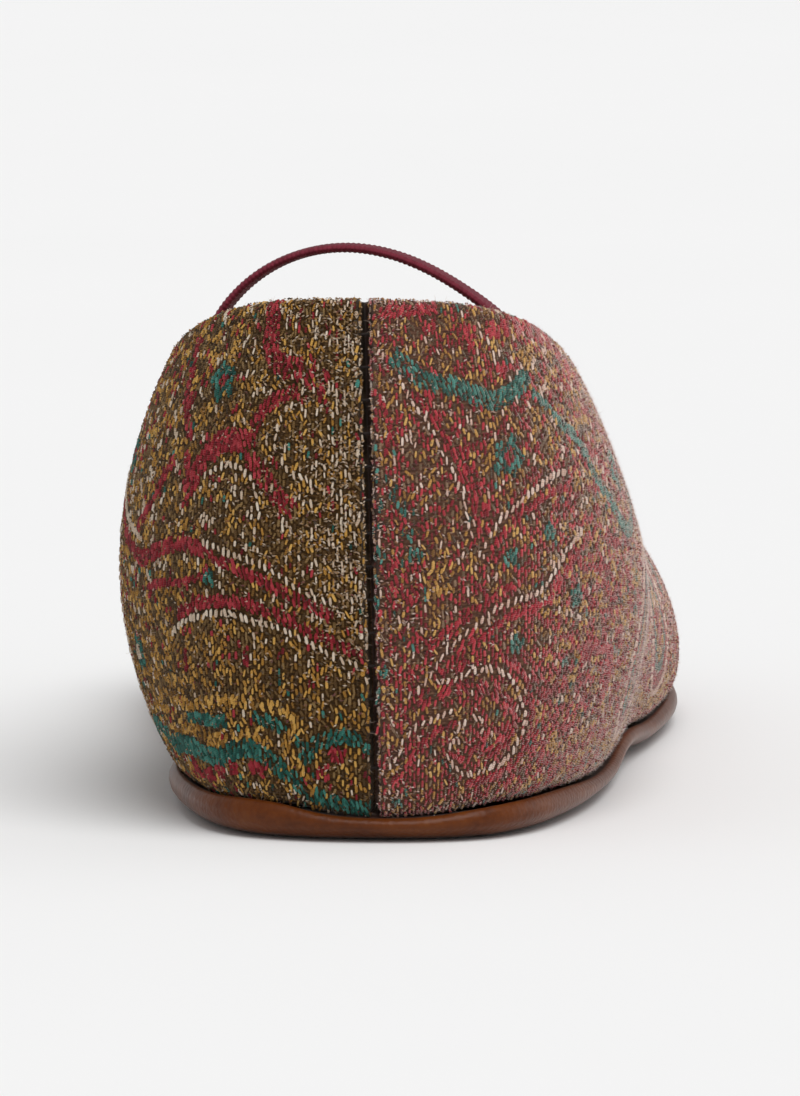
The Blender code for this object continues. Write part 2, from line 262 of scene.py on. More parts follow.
class Last:
    """The foot-shaped form that the pieces are worked out from, with close stations at the back seam."""

    def __init__(self):
        rows = section_loop()
        knots = chord(rows[:, :2])
        length, toe = knots[-1], knots[len(SECTIONS) - 1]
        lateral = np.concatenate([SEAM_STATIONS, np.linspace(SIDE_START, toe, SIDE_STATIONS)])
        medial = np.concatenate([SEAM_STATIONS, np.linspace(SIDE_START, length - toe, SIDE_STATIONS)])
        self.toe = len(lateral) - 1
        self.at = np.concatenate([lateral, length - medial[-2:0:-1]])
        self.from_seam = np.minimum(self.at, length - self.at)
        self.lateral = self.at <= toe
        self.sign = np.where(self.lateral, 1, -1)
        values = spline(knots, rows, self.at, closed=True)
        small = 0.01
        ahead = spline(knots, rows, (self.at + small) % length, closed=True)
        tangent = unit(ahead[:, :2] - values[:, :2])
        self.outward = np.column_stack([tangent[:, 1], -tangent[:, 0]])
        self.plan = values[:, :2]
        self.foot = np.column_stack([self.plan, SOLE_THICKNESS + GAP + lift(self.plan[:, 1])])
        self.top = values[:, 2:5]
        low_out, low_up, high_out, high_up = values[:, 5:].T
        towards = unit(self.plan - self.top[:, :2] + PLAN_PULL * self.outward)
        self.low = self.foot + np.column_stack([self.outward * low_out[:, None], low_up])
        self.high = self.top + np.column_stack([towards * high_out[:, None], high_up])

    def outer(self, share):
        """The upper's outer face, station by row, at each share of the way up from the feather line."""
        t = np.asarray(share)[None, :, None]
        foot, low, high, top = (p[:, None, :] for p in (self.foot, self.low, self.high, self.top))
        return foot * (1 - t) ** 3 + 3 * low * t * (1 - t) ** 2 + 3 * high * t ** 2 * (1 - t) + top * t ** 3

    def normals(self, share):
        """Outward directions of the outer face."""
        small = 1e-3
        share = np.asarray(share)
        up = self.outer(np.minimum(share + small, 1)) - self.outer(np.maximum(share - small, 0))
        face = self.outer(share)
        round_the_shoe = np.roll(face, -1, axis=0) - np.roll(face, 1, axis=0)
        return unit(np.cross(round_the_shoe, up))

    def inner(self, share, depth=WALL):
        """The inner face, a wall's thickness in."""
        return self.outer(share) - depth * self.normals(share)

    def lip_wave(self):
        """Rise and fall of the sole's lip at each station."""
        knots = np.array([row.distance for row in LIP_ROWS])
        rises = np.array([[row.rise] for row in LIP_ROWS])
        return spline(knots, rises, np.clip(self.sign * self.from_seam, knots[0], knots[-1]))[:, 0]

    def station_near(self, along, lateral):
        """The station whose top edge is nearest to this place along the shoe, on one side."""
        wrong_side = (self.top[:, 0] > 0) != lateral
        return int(np.argmin(np.where(wrong_side, np.inf, abs(self.top[:, 1] - along))))

    def sides(self):
        """Station numbers from the back seam to the toe, for each side."""
        medial = np.concatenate([[0], np.arange(len(self.at) - 1, self.toe - 1, -1)])
        return {"lateral": np.arange(0, self.toe + 1), "medial": medial}


def grid_normals(face):
    """Outward directions of a face that is stored station by row."""
    around = np.roll(face, -1, axis=0) - np.roll(face, 1, axis=0)
    return unit(np.cross(around, np.gradient(face, axis=1)))


def crease_depth(points):
    """How far in the cloth lies at each point, from all the hollows and rises."""
    depth = np.zeros(points.shape[:-1])
    for crease in CREASES:
        start, end = np.array(crease.start), np.array(crease.end)
        run = end - start
        part = np.clip((points - start) @ run / (run @ run), 0, 1)
        away = np.linalg.norm(points - start - part[..., None] * run, axis=-1)
        depth += crease.depth * bell(away, crease.width)
    return depth


def gather_depth(last, rise):
    """How far in the cloth lies at its gathers. rise is the distance up from the feather line."""
    depth = np.zeros_like(rise)
    for gather in GATHERS:
        on_side = last.sign == SIGNS[gather.side]
        around = gather.depth * bell(last.from_seam - gather.distance, GATHER_WIDTH) * on_side
        depth += around[:, None] * bell(rise, GATHER_REACH)
    return depth


def seam_half(rise, side):
    """How far each edge of the back seam lies from its middle."""
    pull = bell((rise / STITCH_PITCH) % 1 - 0.5, STITCH_GRIP)
    ragged = np.sin(RAGGED_SLOW * rise + side) + RAGGED_QUICK_SHARE * np.sin(RAGGED_QUICK * rise - 2 * side)
    return np.interp(rise, *zip(*SEAM_ROWS)) - SEAM_PINCH * pull + SEAM_RAGGED * ragged


def seam_depth(last, rise):
    """The groove of the back seam and the rolled lips beside it."""
    from_edge = last.from_seam[:, None] - seam_half(rise, last.sign[:, None])
    groove = SEAM_DEPTH / (1 + np.exp(np.clip(from_edge / SEAM_SOFTNESS, -40, 40)))
    lip = SEAM_LIP * bell(from_edge - SEAM_LIP_AT, SEAM_LIP_WIDTH)
    rounding = SEAM_ROUNDING * bell(np.maximum(from_edge, 0), SEAM_ROUNDING_WIDTH)
    return groove - (lip - rounding) * (from_edge > 0)


class Wall:
    """The upper's wall with its creases, gathers and seam: outer face, rim and lining, station by row."""

    def __init__(self, last):
        share = np.linspace(0, 1, OUTER_ROWS)
        face = last.outer(share)
        normals = last.normals(share)
        rise = chord(face.transpose(1, 0, 2)).T
        fall = CLOTH_FOLLOWS * np.minimum(last.lip_wave(), 0)
        face[..., 2] += fall[:, None] * bell(rise, CLOTH_FOLLOW_REACH)
        depth = crease_depth(face) + gather_depth(last, rise) + TUCK_DEPTH * bell(rise, TUCK_REACH)
        lining_depth = WALL + np.minimum(depth, LINING_FOLLOWS)
        self.lining = face - lining_depth[..., None] * normals
        self.lining[:, 0, 2] = face[:, 0, 2]
        self.smooth = face - depth[..., None] * normals
        self.outer = self.smooth - seam_depth(last, rise)[..., None] * normals
        self.rise = rise
        middle = (self.outer[:, -1] + self.lining[:, -1]) / 2
        half = (self.outer[:, -1] - self.lining[:, -1]) / 2
        upward = unit(face[:, -1] - face[:, -2])
        turns = [math.pi * step / RIM_STEPS for step in range(1, RIM_STEPS)]
        rim = [middle + half * math.cos(a) + upward * (WALL / 2 * math.sin(a)) for a in turns]
        self.rim = np.stack(rim, axis=1)

    def cloth(self):
        """What the yarn covers: the outer face and the rim, past its crown."""
        return np.concatenate([self.outer, self.rim[:, :RIM_STEPS // 2 + 1]], axis=1)


def cloth_field(face, rows):
    """Distance from the back seam along the smooth cloth of one side, with more rows at the rim."""
    middle = face[:, OUTER_ROWS // 2]
    around = chord(middle)
    turn = int(np.searchsorted(middle[:, 1], HEEL_TURN))
    y, z = face[..., 1], face[..., 2]
    over_toe = TOE_TURN + TOE_RADIUS * np.arctan2(y - TOE_TURN, z + TOE_AXIS_DEPTH)
    ahead = np.where(y < TOE_TURN, y, over_toe)
    field = around[turn] + ahead - ahead[turn]
    field[:turn] = around[:turn, None]
    field = np.maximum.accumulate(field, axis=0)
    return np.concatenate([field, np.repeat(field[:, -1:], rows - field.shape[1], axis=1)], axis=1)


def lateral_share(places, side):
    """How far each place belongs to the lateral side: all or nothing at the heel, blended over the vamp."""
    across, along = places[:, 0], places[:, 1]
    share = np.clip(0.5 + across / np.interp(along, VAMP_BLEND_ALONG, VAMP_BLEND_WIDTHS), 0, 1)
    return np.where(along < VAMP_BLEND_ALONG[0], side > 0, share)


class Floats:
    """Places of all the yarn floats: centre, direction along the float, outward direction and chart place."""

    def __init__(self, last, wall, rng):
        face = wall.cloth()
        normals = grid_normals(face)
        found = []
        for side, order in last.sides().items():
            field = cloth_field(wall.smooth[order], face.shape[1])
            found += self.on_side(face[order], normals[order], field, SIGNS[side], rng)
            found += self.over_throat(face[order], normals[order], field, SIGNS[side])
        table = np.concatenate(found)
        self.centre, self.along, self.outward = table[:, 0:3], unit(table[:, 3:6]), unit(table[:, 6:9])
        self.side, self.reach, self.rise, self.room = table[:, 9:13].T
        self.column, self.row = table[:, 13:15].T.astype(int)
        self.from_top = table[:, 15]
        uneven = (seam_half(self.rise, self.side) - SEAM_EVEN) * np.exp(-self.reach / SEAM_EVEN_REACH)
        self.centre = self.centre + (uneven * self.side)[:, None] * np.cross(self.along, self.outward)

    @staticmethod
    def on_side(face, normals, field, side, rng):
        """The floats of one side, column by column from the seam."""
        stations = np.arange(len(face))
        found = []
        before = None
        for column in range(int((field.max() - SEAM_BARE) / COLUMN_PITCH)):
            reach = SEAM_BARE + (column + COLUMN_START) * COLUMN_PITCH
            rows = np.flatnonzero(field[-1] >= reach)
            if len(rows) < COLUMN_FEWEST:
                break
            place = np.array([np.interp(reach, field[:, row], stations) for row in rows])
            low = np.minimum(place.astype(int), len(face) - 2)
            part = (place - low)[:, None]
            points, facing = (blend(grid[low, rows], grid[low + 1, rows], part) for grid in (face, normals))
            crossing = rows[-1] + 1
            if crossing < face.shape[1]:
                ends = field[-1, crossing - 1], field[-1, crossing]
                share = (ends[0] - reach) / max(ends[0] - ends[1], 1e-6)
                points = np.vstack([points, blend(face[-1, crossing - 1], face[-1, crossing], share)])
                facing = np.vstack([facing, blend(normals[-1, crossing - 1], normals[-1, crossing], share)])
                rows = np.append(rows, crossing)
            rise = chord(points)
            if before is None:
                room = np.full(len(points), COLUMN_PITCH)
            else:
                room = np.linalg.norm(points - before[rows], axis=1)
            before = np.full((face.shape[1], 3), np.nan)
            before[rows] = points
            room = np.where(np.isnan(room), COLUMN_PITCH, room)
            first = ROW_START + ROW_PITCH * (0.5 * (column % 2) + rng.uniform(-COLUMN_JITTER, COLUMN_JITTER))
            at = np.arange(first, rise[-1], ROW_PITCH)
            at = np.clip(at + rng.normal(0, ROW_JITTER, len(at)), 0, rise[-1])
            followed = np.column_stack([points, np.gradient(points, rise, axis=0), facing])
            columns = [np.interp(at, rise, values) for values in followed.T]
            space = np.interp(at, rise, room)
            same = np.ones(len(at))
            columns += [side * same, reach * same, at, space]
            columns += [column * same, np.arange(len(at)), rise[-1] - at]
            kept = rng.uniform(size=len(at)) < space / (CROWDED * COLUMN_PITCH)
            found.append(np.column_stack(columns)[kept])
        return found

    @staticmethod
    def over_throat(face, normals, field, side):
        """More floats over the rim at the front of the throat, where the columns run along it."""
        edge = chord(face[:, OUTER_ROWS - 1])
        apart = np.gradient(field[:, OUTER_ROWS - 1]) < THROAT_SLANT * np.gradient(edge)
        first = np.flatnonzero(apart & (face[:, OUTER_ROWS - 1, 1] > STRAP_ALONG))[0]
        at = np.arange(edge[first], edge[-1], COLUMN_PITCH)
        near = np.searchsorted(edge, at).clip(0, len(edge) - 1)
        climb = chord(face.transpose(1, 0, 2)).T
        same = np.ones(len(at))
        found = []
        for row in (OUTER_ROWS, OUTER_ROWS + RIM_STEPS // 2 - 1):
            columns = [face[near, row], face[near, row + 1] - face[near, row - 1], normals[near, row]]
            columns += [side * same, field[near, row], climb[near, row], COLUMN_PITCH * same]
            columns += [np.arange(len(at)), row * same, climb[near, -1] - climb[near, row]]
            found.append(np.column_stack(columns))
        return found


# Runs of colour in the weave. Points are chart positions in millimetres: distance from the back seam, and
# distance up from the feather line. A dash of 0 is a solid run, other values space the dots along it.
Run = namedtuple("Run", "side colour width dash points")
CREAM_WIDTH = 0.36
HEEL_RUNS = [Run("medial", *row) for row in (
    ("crimson", 1.8, 0, [(10.2, 43.5), (10.0, 40.5), (9.7, 39.0), (8.2, 38.0)]),
    ("crimson", 2.2, 1.3, [(8.2, 38.0), (7.0, 38.0), (5.2, 37.5), (3.4, 37.0)]),
    ("crimson", 1.0, 0, [(4.3, 36.5), (3.8, 34.6)]),
    ("crimson", 1.3, 0, [(6.5, 36.0), (8.3, 35.3), (10.1, 34.0), (11.0, 31.7), (11.0, 29.9)]),
    ("crimson", 1.6, 0, [(11.0, 29.9), (9.2, 28.2), (8.3, 27.1), (6.5, 25.9)]),
    ("crimson", 1.7, 0, [(11.0, 31.1), (13.5, 31.5), (15.1, 30.8), (16.4, 29.5), (18.2, 27.0)]),
    ("crimson", 1.0, 0, [(21.8, 40.0), (20.9, 36.5), (20.7, 34.4), (19.2, 32.0), (18.7, 29.0),
                         (18.2, 25.3)]),
    ("crimson", 1.0, 0, [(20.9, 29.4), (22.7, 27.5), (24.7, 25.0), (27.7, 23.0)]),
    ("crimson", 1.1, 0, [(26.0, 20.5), (21.8, 21.6), (18.7, 22.3), (16.0, 22.0)]),
    ("crimson", 0.9, 0, [(16.0, 22.0), (12.8, 21.0), (10.1, 20.0), (7.0, 18.8), (4.7, 18.1),
                         (3.2, 17.5)]),
    ("crimson", 0.7, 0, [(25.0, 17.9), (20.9, 18.9), (17.8, 19.1), (15.5, 19.8)]),
    ("crimson", 0.9, 0, [(19.4, 16.2), (16.9, 17.2), (13.3, 17.8), (10.6, 17.6), (8.2, 16.9), (5.2, 16.0),
                         (2.9, 15.2), (0.5, 14.3)]),
    ("crimson", 0.6, 0, [(11.0, 14.0), (11.0, 12.4)]),
    ("crimson", 0.6, 0, [(18.7, 13.4), (18.7, 11.6)]),
    ("gold", 1.0, 0.9, [(20.9, 8.5), (16.0, 8.9), (11.9, 9.3), (7.9, 8.9)]),
    ("teal", 1.0, 0, [(20.0, 7.4), (16.9, 7.3), (13.7, 7.4)]),
    ("teal", 0.9, 0, [(10.6, 8.2), (9.2, 7.7), (7.4, 6.8), (6.1, 5.8)]),
    ("gold", 1.1, 0.9, [(22.3, 6.3), (18.2, 6.2), (16.0, 5.6), (12.8, 6.3), (9.7, 6.6)]),
    ("teal", 1.5, 0, [(27.2, 4.0), (20.0, 4.5), (16.0, 4.0), (12.8, 5.0), (10.6, 5.0), (8.8, 3.9)]),
    ("teal", 1.4, 0, [(8.8, 3.9), (7.0, 2.6), (5.6, 1.8), (3.4, 1.2), (0.6, 0.8)]),
    ("teal", 1.2, 0, [(6.1, 4.6), (5.2, 6.1), (3.4, 7.1), (2.0, 7.2), (0.5, 6.6)]),
    ("gold", 0.8, 0, [(7.6, 9.0), (6.7, 7.4), (7.6, 5.8), (6.5, 4.2), (5.2, 1.8)]),
    ("crimson", 1.1, 2.6, [(22.0, 3.0), (19.6, 2.2), (16.0, 2.8), (13.3, 3.4), (9.7, 3.2)]),
    ("crimson", 1.2, 2.4, [(4.4, 3.2), (3.8, 5.6), (1.6, 5.2)]),
)]
HEEL_RUNS += [Run("lateral", *row) for row in (
    ("crimson", 0.9, 0, [(0.6, 43.3), (3.8, 43.6), (7.0, 43.6)]),
    ("crimson", 1.4, 0, [(10.4, 41.8), (9.8, 39.6)]),
    ("crimson", 1.6, 2.0, [(12.6, 41.0), (16.4, 41.2), (20.5, 40.6), (24.1, 38.8), (28.1, 35.9)]),
    ("teal", 1.4, 0, [(2.5, 39.8), (3.8, 38.7), (5.6, 37.4), (7.9, 36.8), (9.7, 35.8), (11.9, 35.0)]),
    ("teal", 1.5, 0, [(11.9, 35.0), (14.2, 35.6), (16.9, 37.2)]),
    ("teal", 0.9, 0, [(16.9, 35.4), (18.7, 33.9), (20.9, 32.3), (23.6, 30.6), (25.4, 28.0),
                      (29.0, 25.4)]),
    ("crimson", 1.5, 1.8, [(4.8, 36.0), (7.0, 33.6), (8.3, 31.0), (9.1, 28.5), (9.9, 26.2),
                           (10.0, 22.2)]),
    ("crimson", 3.4, 1.5, [(1.1, 21.9), (2.5, 20.5), (3.6, 19.2)]),
    ("gold", 2.6, 1.0, [(5.4, 23.0), (6.0, 19.0)]),
    ("crimson", 4.0, 1.5, [(7.0, 14.0), (9.0, 14.4)]),
    ("crimson", 1.2, 1.7, [(4.0, 10.2), (6.0, 11.2), (9.0, 11.0), (12.0, 9.4), (12.6, 6.4), (10.0, 5.2)]),
)]

# Crimson that goes along the cream lines of the lateral side
HEEL_RUNS += [Run("lateral", "crimson", 0.72, 0, points) for points in (
    [(4.3, 36.6), (5.7, 34.6), (7.0, 32.2), (8.1, 29.6), (9.0, 27.0), (9.5, 24.0)],
    [(10.5, 22.3), (11.7, 23.8), (13.1, 24.8), (15.5, 26.1), (17.8, 26.9), (20.2, 27.3)],
    [(3.2, 12.5), (4.6, 14.3), (6.1, 16.0), (8.1, 17.1), (10.3, 18.6), (12.5, 19.3)],
    [(5.9, 12.5), (7.3, 13.9), (9.0, 14.8), (11.2, 16.3), (13.4, 17.0), (15.8, 17.5), (18.8, 20.0),
     (22.2, 22.2)],
    [(1.4, 3.3), (2.9, 4.8), (3.9, 6.5), (5.4, 7.6), (7.2, 8.2)],
    [(11.0, 13.4), (13.4, 12.1), (14.9, 9.7), (15.7, 7.8), (15.3, 5.3), (13.8, 3.4), (11.2, 2.8), (8.4, 2.5)],
    [(11.6, 10.3), (12.7, 8.8), (13.4, 7.4), (13.1, 6.1), (12.1, 5.3), (10.6, 4.9)],
    [(6.2, 6.0), (7.4, 5.0), (9.0, 5.4), (10.6, 6.6)],
    [(0.9, 36.6), (2.0, 34.0), (1.6, 31.5)],
)]

# Cream lines of both sides, one row of floats wide
HEEL_RUNS += [Run("medial", "cream", CREAM_WIDTH, 0, points) for points in (
    [(7.0, 34.8), (8.3, 33.0), (8.4, 30.6)],
    [(7.9, 30.0), (6.5, 28.9), (5.2, 28.7), (5.2, 26.3)],
    [(15.5, 28.5), (14.2, 29.2), (12.4, 29.3), (11.0, 28.6), (10.1, 27.0), (9.7, 25.0)],
    [(15.5, 22.6), (12.8, 22.0), (11.0, 21.5), (8.8, 20.8), (7.0, 19.8), (4.7, 19.0), (3.3, 18.8)],
    [(20.5, 14.5), (18.2, 15.7), (15.5, 16.5), (12.4, 16.8), (10.1, 16.3), (7.4, 15.7), (5.2, 15.0),
     (2.9, 14.1), (0.6, 13.4)],
)]
HEEL_RUNS += [Run("lateral", "cream", CREAM_WIDTH, 0, points) for points in (
    [(3.0, 38.0), (4.3, 35.3), (5.6, 33.5), (6.5, 31.2), (7.7, 28.8), (8.3, 26.4), (8.8, 23.4)],
    [(9.8, 22.9), (11.0, 24.5), (12.4, 25.6), (15.1, 27.1), (17.3, 28.0), (20.0, 28.4)],
    [(3.8, 11.3), (5.2, 13.1), (6.5, 14.8), (8.3, 15.9), (10.6, 17.4), (12.8, 18.1), (15.1, 18.5),
     (18.2, 21.1), (21.8, 23.4)],
    [(0.6, 4.2), (2.0, 5.8), (2.9, 7.6), (4.7, 8.7), (7.0, 9.4)],
    [(5.4, 12.0), (7.2, 12.1), (8.8, 12.5), (10.1, 12.5), (12.4, 11.4), (13.8, 9.3), (14.5, 7.8),
     (14.2, 5.8), (13.2, 4.4), (11.0, 3.7), (8.6, 3.5), (7.2, 4.3), (6.7, 5.3), (6.9, 6.4)],
    [(7.0, 6.6), (8.3, 8.3), (9.7, 8.2), (9.6, 6.6)],
)]

# Flowers: a ring of petals of one colour around an eye of another
Flower = namedtuple("Flower", "side reach rise radius petals eye")
FLOWERS = [
    Flower("medial", 15.4, 36.4, 1.5, "teal", "crimson"),
    Flower("lateral", 12.8, 30.2, 1.6, "teal", "crimson"),
    Flower("lateral", 20.5, 17.6, 0.9, "teal", "teal"),
    Flower("lateral", 12.8, 14.3, 0.8, "teal", "teal"),
]
PETAL_COUNT, PETAL_DEPTH = 5, 0.16
EYE_SHARE = 0.4
FLOWER_MARGINS = (0.2, 0.4)     # how far places for floats are tried past the radius, across and up
FLOWER_CLEARS = 0.34

# Single spots of colour
Spot = namedtuple("Spot", "side reach rise radius colour")
SPOTS = [Spot("lateral", *row, "teal") for row in (
    (0.7, 30.0, 0.55), (2.1, 28.2, 0.6), (0.7, 27.4, 0.5), (2.9, 26.9, 0.5), (0.7, 25.3, 0.5),
    (3.4, 24.6, 0.55), (0.8, 22.9, 0.75), (3.8, 22.9, 0.75), (16.9, 23.5, 0.8), (12.4, 21.6, 0.8),
    (0.8, 13.1, 0.8), (2.0, 1.6, 0.6),
)]
SPOTS += [
    Spot("lateral", 6.1, 41.9, 0.7, "crimson"), Spot("lateral", 13.4, 37.6, 0.7, "crimson"),
    Spot("medial", 14.6, 19.6, 0.7, "teal"), Spot("medial", 19.6, 34.6, 0.6, "crimson"),
]

# Paisley drops, vines and flowers on the sides and the vamp. On the vamp the place is across and along.
Drop = namedtuple("Drop", "chart across up size turn")
DROPS = [
    Drop("lateral", 44.0, 13.0, 10.0, -18.0), Drop("lateral", 68.0, 11.5, 8.5, 28.0),
    Drop("medial", 43.0, 13.5, 10.0, 16.0), Drop("medial", 68.0, 11.5, 8.5, -30.0),
    Drop("vamp", -8.5, 88.0, 9.5, 22.0), Drop("vamp", 7.0, 84.0, 7.5, -34.0),
    Drop("vamp", 2.0, 101.0, 7.0, 65.0),
]
DROP_OUTLINE = [(0.0, -1.0), (0.5, -0.82), (0.66, -0.36), (0.52, 0.12), (0.3, 0.48), (0.22, 0.8), (0.5, 1.0),
                (0.05, 0.92), (-0.3, 0.5), (-0.52, 0.05), (-0.62, -0.42), (-0.46, -0.84), (0.0, -1.0)]
DROP_CENTRE = (0.0, -0.3)
# Outlines of a drop, one inside another: scale, colour, width and dash
DROP_LAYERS = [(1.0, "cream", CREAM_WIDTH, 0), (0.84, "crimson", 1.3, 0), (0.62, "teal", 1.0, 0),
               (0.42, "gold", 1.0, 1.0), (0.12, "crimson", 1.6, 0)]
SIDE_VINES = [
    Run("lateral", "teal", 1.1, 0, [(29.0, 25.4), (35.0, 22.5), (42.0, 25.0), (50.0, 22.0), (58.0, 20.5),
                                    (66.0, 22.0), (76.0, 20.0)]),
    Run("medial", "teal", 1.1, 0, [(27.2, 4.0), (33.0, 5.5), (38.0, 3.5), (46.0, 3.0), (55.0, 5.0),
                                   (62.0, 3.5), (76.0, 4.0)]),
    Run("medial", "crimson", 1.1, 0, [(26.0, 20.5), (33.0, 22.5), (40.0, 26.0), (50.0, 23.0),
                                      (58.0, 20.0), (68.0, 21.5), (78.0, 20.0)]),
    Run("medial", "cream", CREAM_WIDTH, 0, [(26.0, 22.2), (33.0, 24.2), (40.0, 27.6), (50.0, 24.6),
                                            (58.0, 21.6), (68.0, 23.1)]),
    Run("lateral", "crimson", 1.2, 0, [(22.0, 12.0), (26.0, 13.0), (29.0, 11.0), (28.0, 8.0)]),
    Run("lateral", "gold", 1.1, 1.0, [(34.0, 4.0), (44.0, 2.6), (56.0, 4.6), (66.0, 2.6), (80.0, 4.0)]),
    Run("vamp", "teal", 1.1, 0, [(-19.0, 84.0), (-15.0, 92.0), (-15.0, 99.0), (-9.0, 103.0),
                                 (-3.0, 109.0)]),
    Run("vamp", "crimson", 1.1, 0, [(15.0, 78.0), (15.5, 88.0), (12.0, 95.0), (9.0, 101.0),
                                    (7.0, 108.0)]),
    Run("vamp", "cream", CREAM_WIDTH, 0, [(16.6, 78.0), (17.0, 88.0), (13.6, 95.6), (10.6, 101.6),
                                          (8.6, 108.0)]),
    Run("vamp", "cream", CREAM_WIDTH, 0, [(-3.0, 75.5), (-1.0, 82.0), (0.5, 90.0), (-2.0, 97.0),
                                          (-7.0, 98.5)]),
]
SIDE_FLOWERS = [
    Flower("lateral", 33.0, 28.0, 1.5, "teal", "crimson"), Flower("lateral", 56.0, 14.0, 1.7, "teal", "gold"),
    Flower("lateral", 82.0, 12.0, 1.6, "teal", "crimson"), Flower("lateral", 36.0, 18.5, 1.1, "gold", "teal"),
    Flower("medial", 33.0, 29.0, 1.5, "teal", "crimson"), Flower("medial", 56.0, 13.0, 1.7, "teal", "gold"),
    Flower("medial", 83.0, 12.0, 1.6, "teal", "crimson"), Flower("medial", 31.0, 12.0, 1.4, "teal", "cream"),
    Flower("vamp", -1.0, 81.0, 1.6, "teal", "crimson"), Flower("vamp", -14.0, 80.0, 1.4, "teal", "gold"),
    Flower("vamp", -10.5, 99.0, 1.6, "gold", "teal"), Flower("vamp", 9.5, 92.5, 1.5, "teal", "cream"),
    Flower("vamp", -3.0, 106.0, 1.3, "teal", "crimson"), Flower("vamp", -17.0, 94.0, 1.3, "gold", "crimson"),
]

# Shares of each colour in the ground of the weave, by side and by height up the cloth
COLOURS = ("gold", "crimson", "cream", "teal", "umber")
GOLD, CREAM, UMBER = (COLOURS.index(name) for name in ("gold", "cream", "umber"))
Ground = namedtuple("Ground", "side rise gold crimson cream teal umber")
GROUNDS = [Ground("medial", *row) for row in (
    (0.0, 0.36, 0.06, 0.03, 0.04, 0.51), (12.0, 0.38, 0.02, 0.03, 0.01, 0.56),
    (17.0, 0.30, 0.07, 0.06, 0.01, 0.56), (24.0, 0.31, 0.03, 0.09, 0.01, 0.56),
    (36.0, 0.29, 0.07, 0.06, 0.01, 0.57), (50.0, 0.29, 0.08, 0.06, 0.01, 0.56),
)]
GROUNDS += [Ground("lateral", *row) for row in (
    (0.0, 0.27, 0.58, 0.04, 0.02, 0.09), (12.0, 0.26, 0.56, 0.04, 0.02, 0.12),
    (24.0, 0.25, 0.48, 0.06, 0.02, 0.19), (36.0, 0.34, 0.30, 0.08, 0.01, 0.27),
    (50.0, 0.32, 0.33, 0.07, 0.01, 0.27),
)]
SEAM_CREAM = 0.5          # extra share of cream beside the seam, on the medial side
SEAM_CREAM_REACH = 3.4
SEAM_CREAM_FROM = 17.0
UMBER_SHARES = (0.45, 1.5)     # how much of its share umber has at raised places and at the others
PATCH_SIZES = (2.9, 2.0)  # how far the patches of one colour go around the shoe and up it
PATCH_STRENGTH = 1.15
PATCH_WAVES = 24
PATCH_LENGTHS = (0.7, 1.7)


def smooth_curve(points, step=0.12):
    """Points close together along a smooth curve through the given ones, with distance along it."""
    points = np.array(points, dtype=float)
    knots = chord(points)
    at = np.arange(0, knots[-1], step)
    return spline(knots, points, at), at


def drop_runs(drop):
    """The runs of one paisley drop: its outlines, one inside another."""
    turn = math.radians(drop.turn)
    turned = np.array([[math.cos(turn), -math.sin(turn)], [math.sin(turn), math.cos(turn)]])
    outline = np.array(DROP_OUTLINE) * drop.size
    centre = np.array(DROP_CENTRE) * drop.size
    runs = []
    for scale, colour, width, dash in DROP_LAYERS:
        points = (centre + (outline - centre) * scale) @ turned.T + (drop.across, drop.up)
        runs.append(Run(drop.chart, colour, width, dash, [tuple(p) for p in points]))
    return runs


def patches(floats, rng):
    """A smooth value at each float, mostly from -1 to 1, that rises and falls from patch to patch."""
    places = np.column_stack([floats.side * floats.reach, floats.rise]) / PATCH_SIZES
    turn, start = rng.uniform(0, 2 * math.pi, (2, PATCH_WAVES))
    length = rng.uniform(*PATCH_LENGTHS, PATCH_WAVES)
    waves = np.cos(2 * math.pi * (places @ np.stack([np.cos(turn), np.sin(turn)])) / length + start)
    return waves.sum(axis=1) / math.sqrt(PATCH_WAVES)


def ground_colours(floats, rng):
    """A colour number for each float from the shares of the ground, alternating lighter and darker places."""
    weights = np.zeros((len(floats.side), len(COLOURS)))
    lateral = lateral_share(floats.centre, floats.side)
    for side, belongs in (("lateral", lateral), ("medial", 1 - lateral)):
        table = [g for g in GROUNDS if g.side == side]
        for i, colour in enumerate(COLOURS):
            shares = [getattr(g, colour) for g in table]
            weights[:, i] += belongs * np.interp(floats.rise, [g.rise for g in table], shares)
    beside_seam = (floats.side < 0) & (floats.rise > SEAM_CREAM_FROM)
    weights[:, CREAM] += SEAM_CREAM * beside_seam * bell(floats.reach, SEAM_CREAM_REACH)
    for i in range(len(COLOURS)):
        weights[:, i] *= np.exp(PATCH_STRENGTH * patches(floats, rng))
    raised = (floats.column + floats.row) % 2 == 0
    weights[:, UMBER] *= np.where(raised, *UMBER_SHARES)
    total = np.cumsum(weights, axis=1)
    pick = rng.uniform(size=len(total)) * total[:, -1]
    return (pick[:, None] > total).sum(axis=1)


def search_tree(points):
    """A tree that finds the nearest of some points."""
    tree = KDTree(len(points))
    for i, point in enumerate(points):
        tree.insert(point, i)
    tree.balance()
    return tree


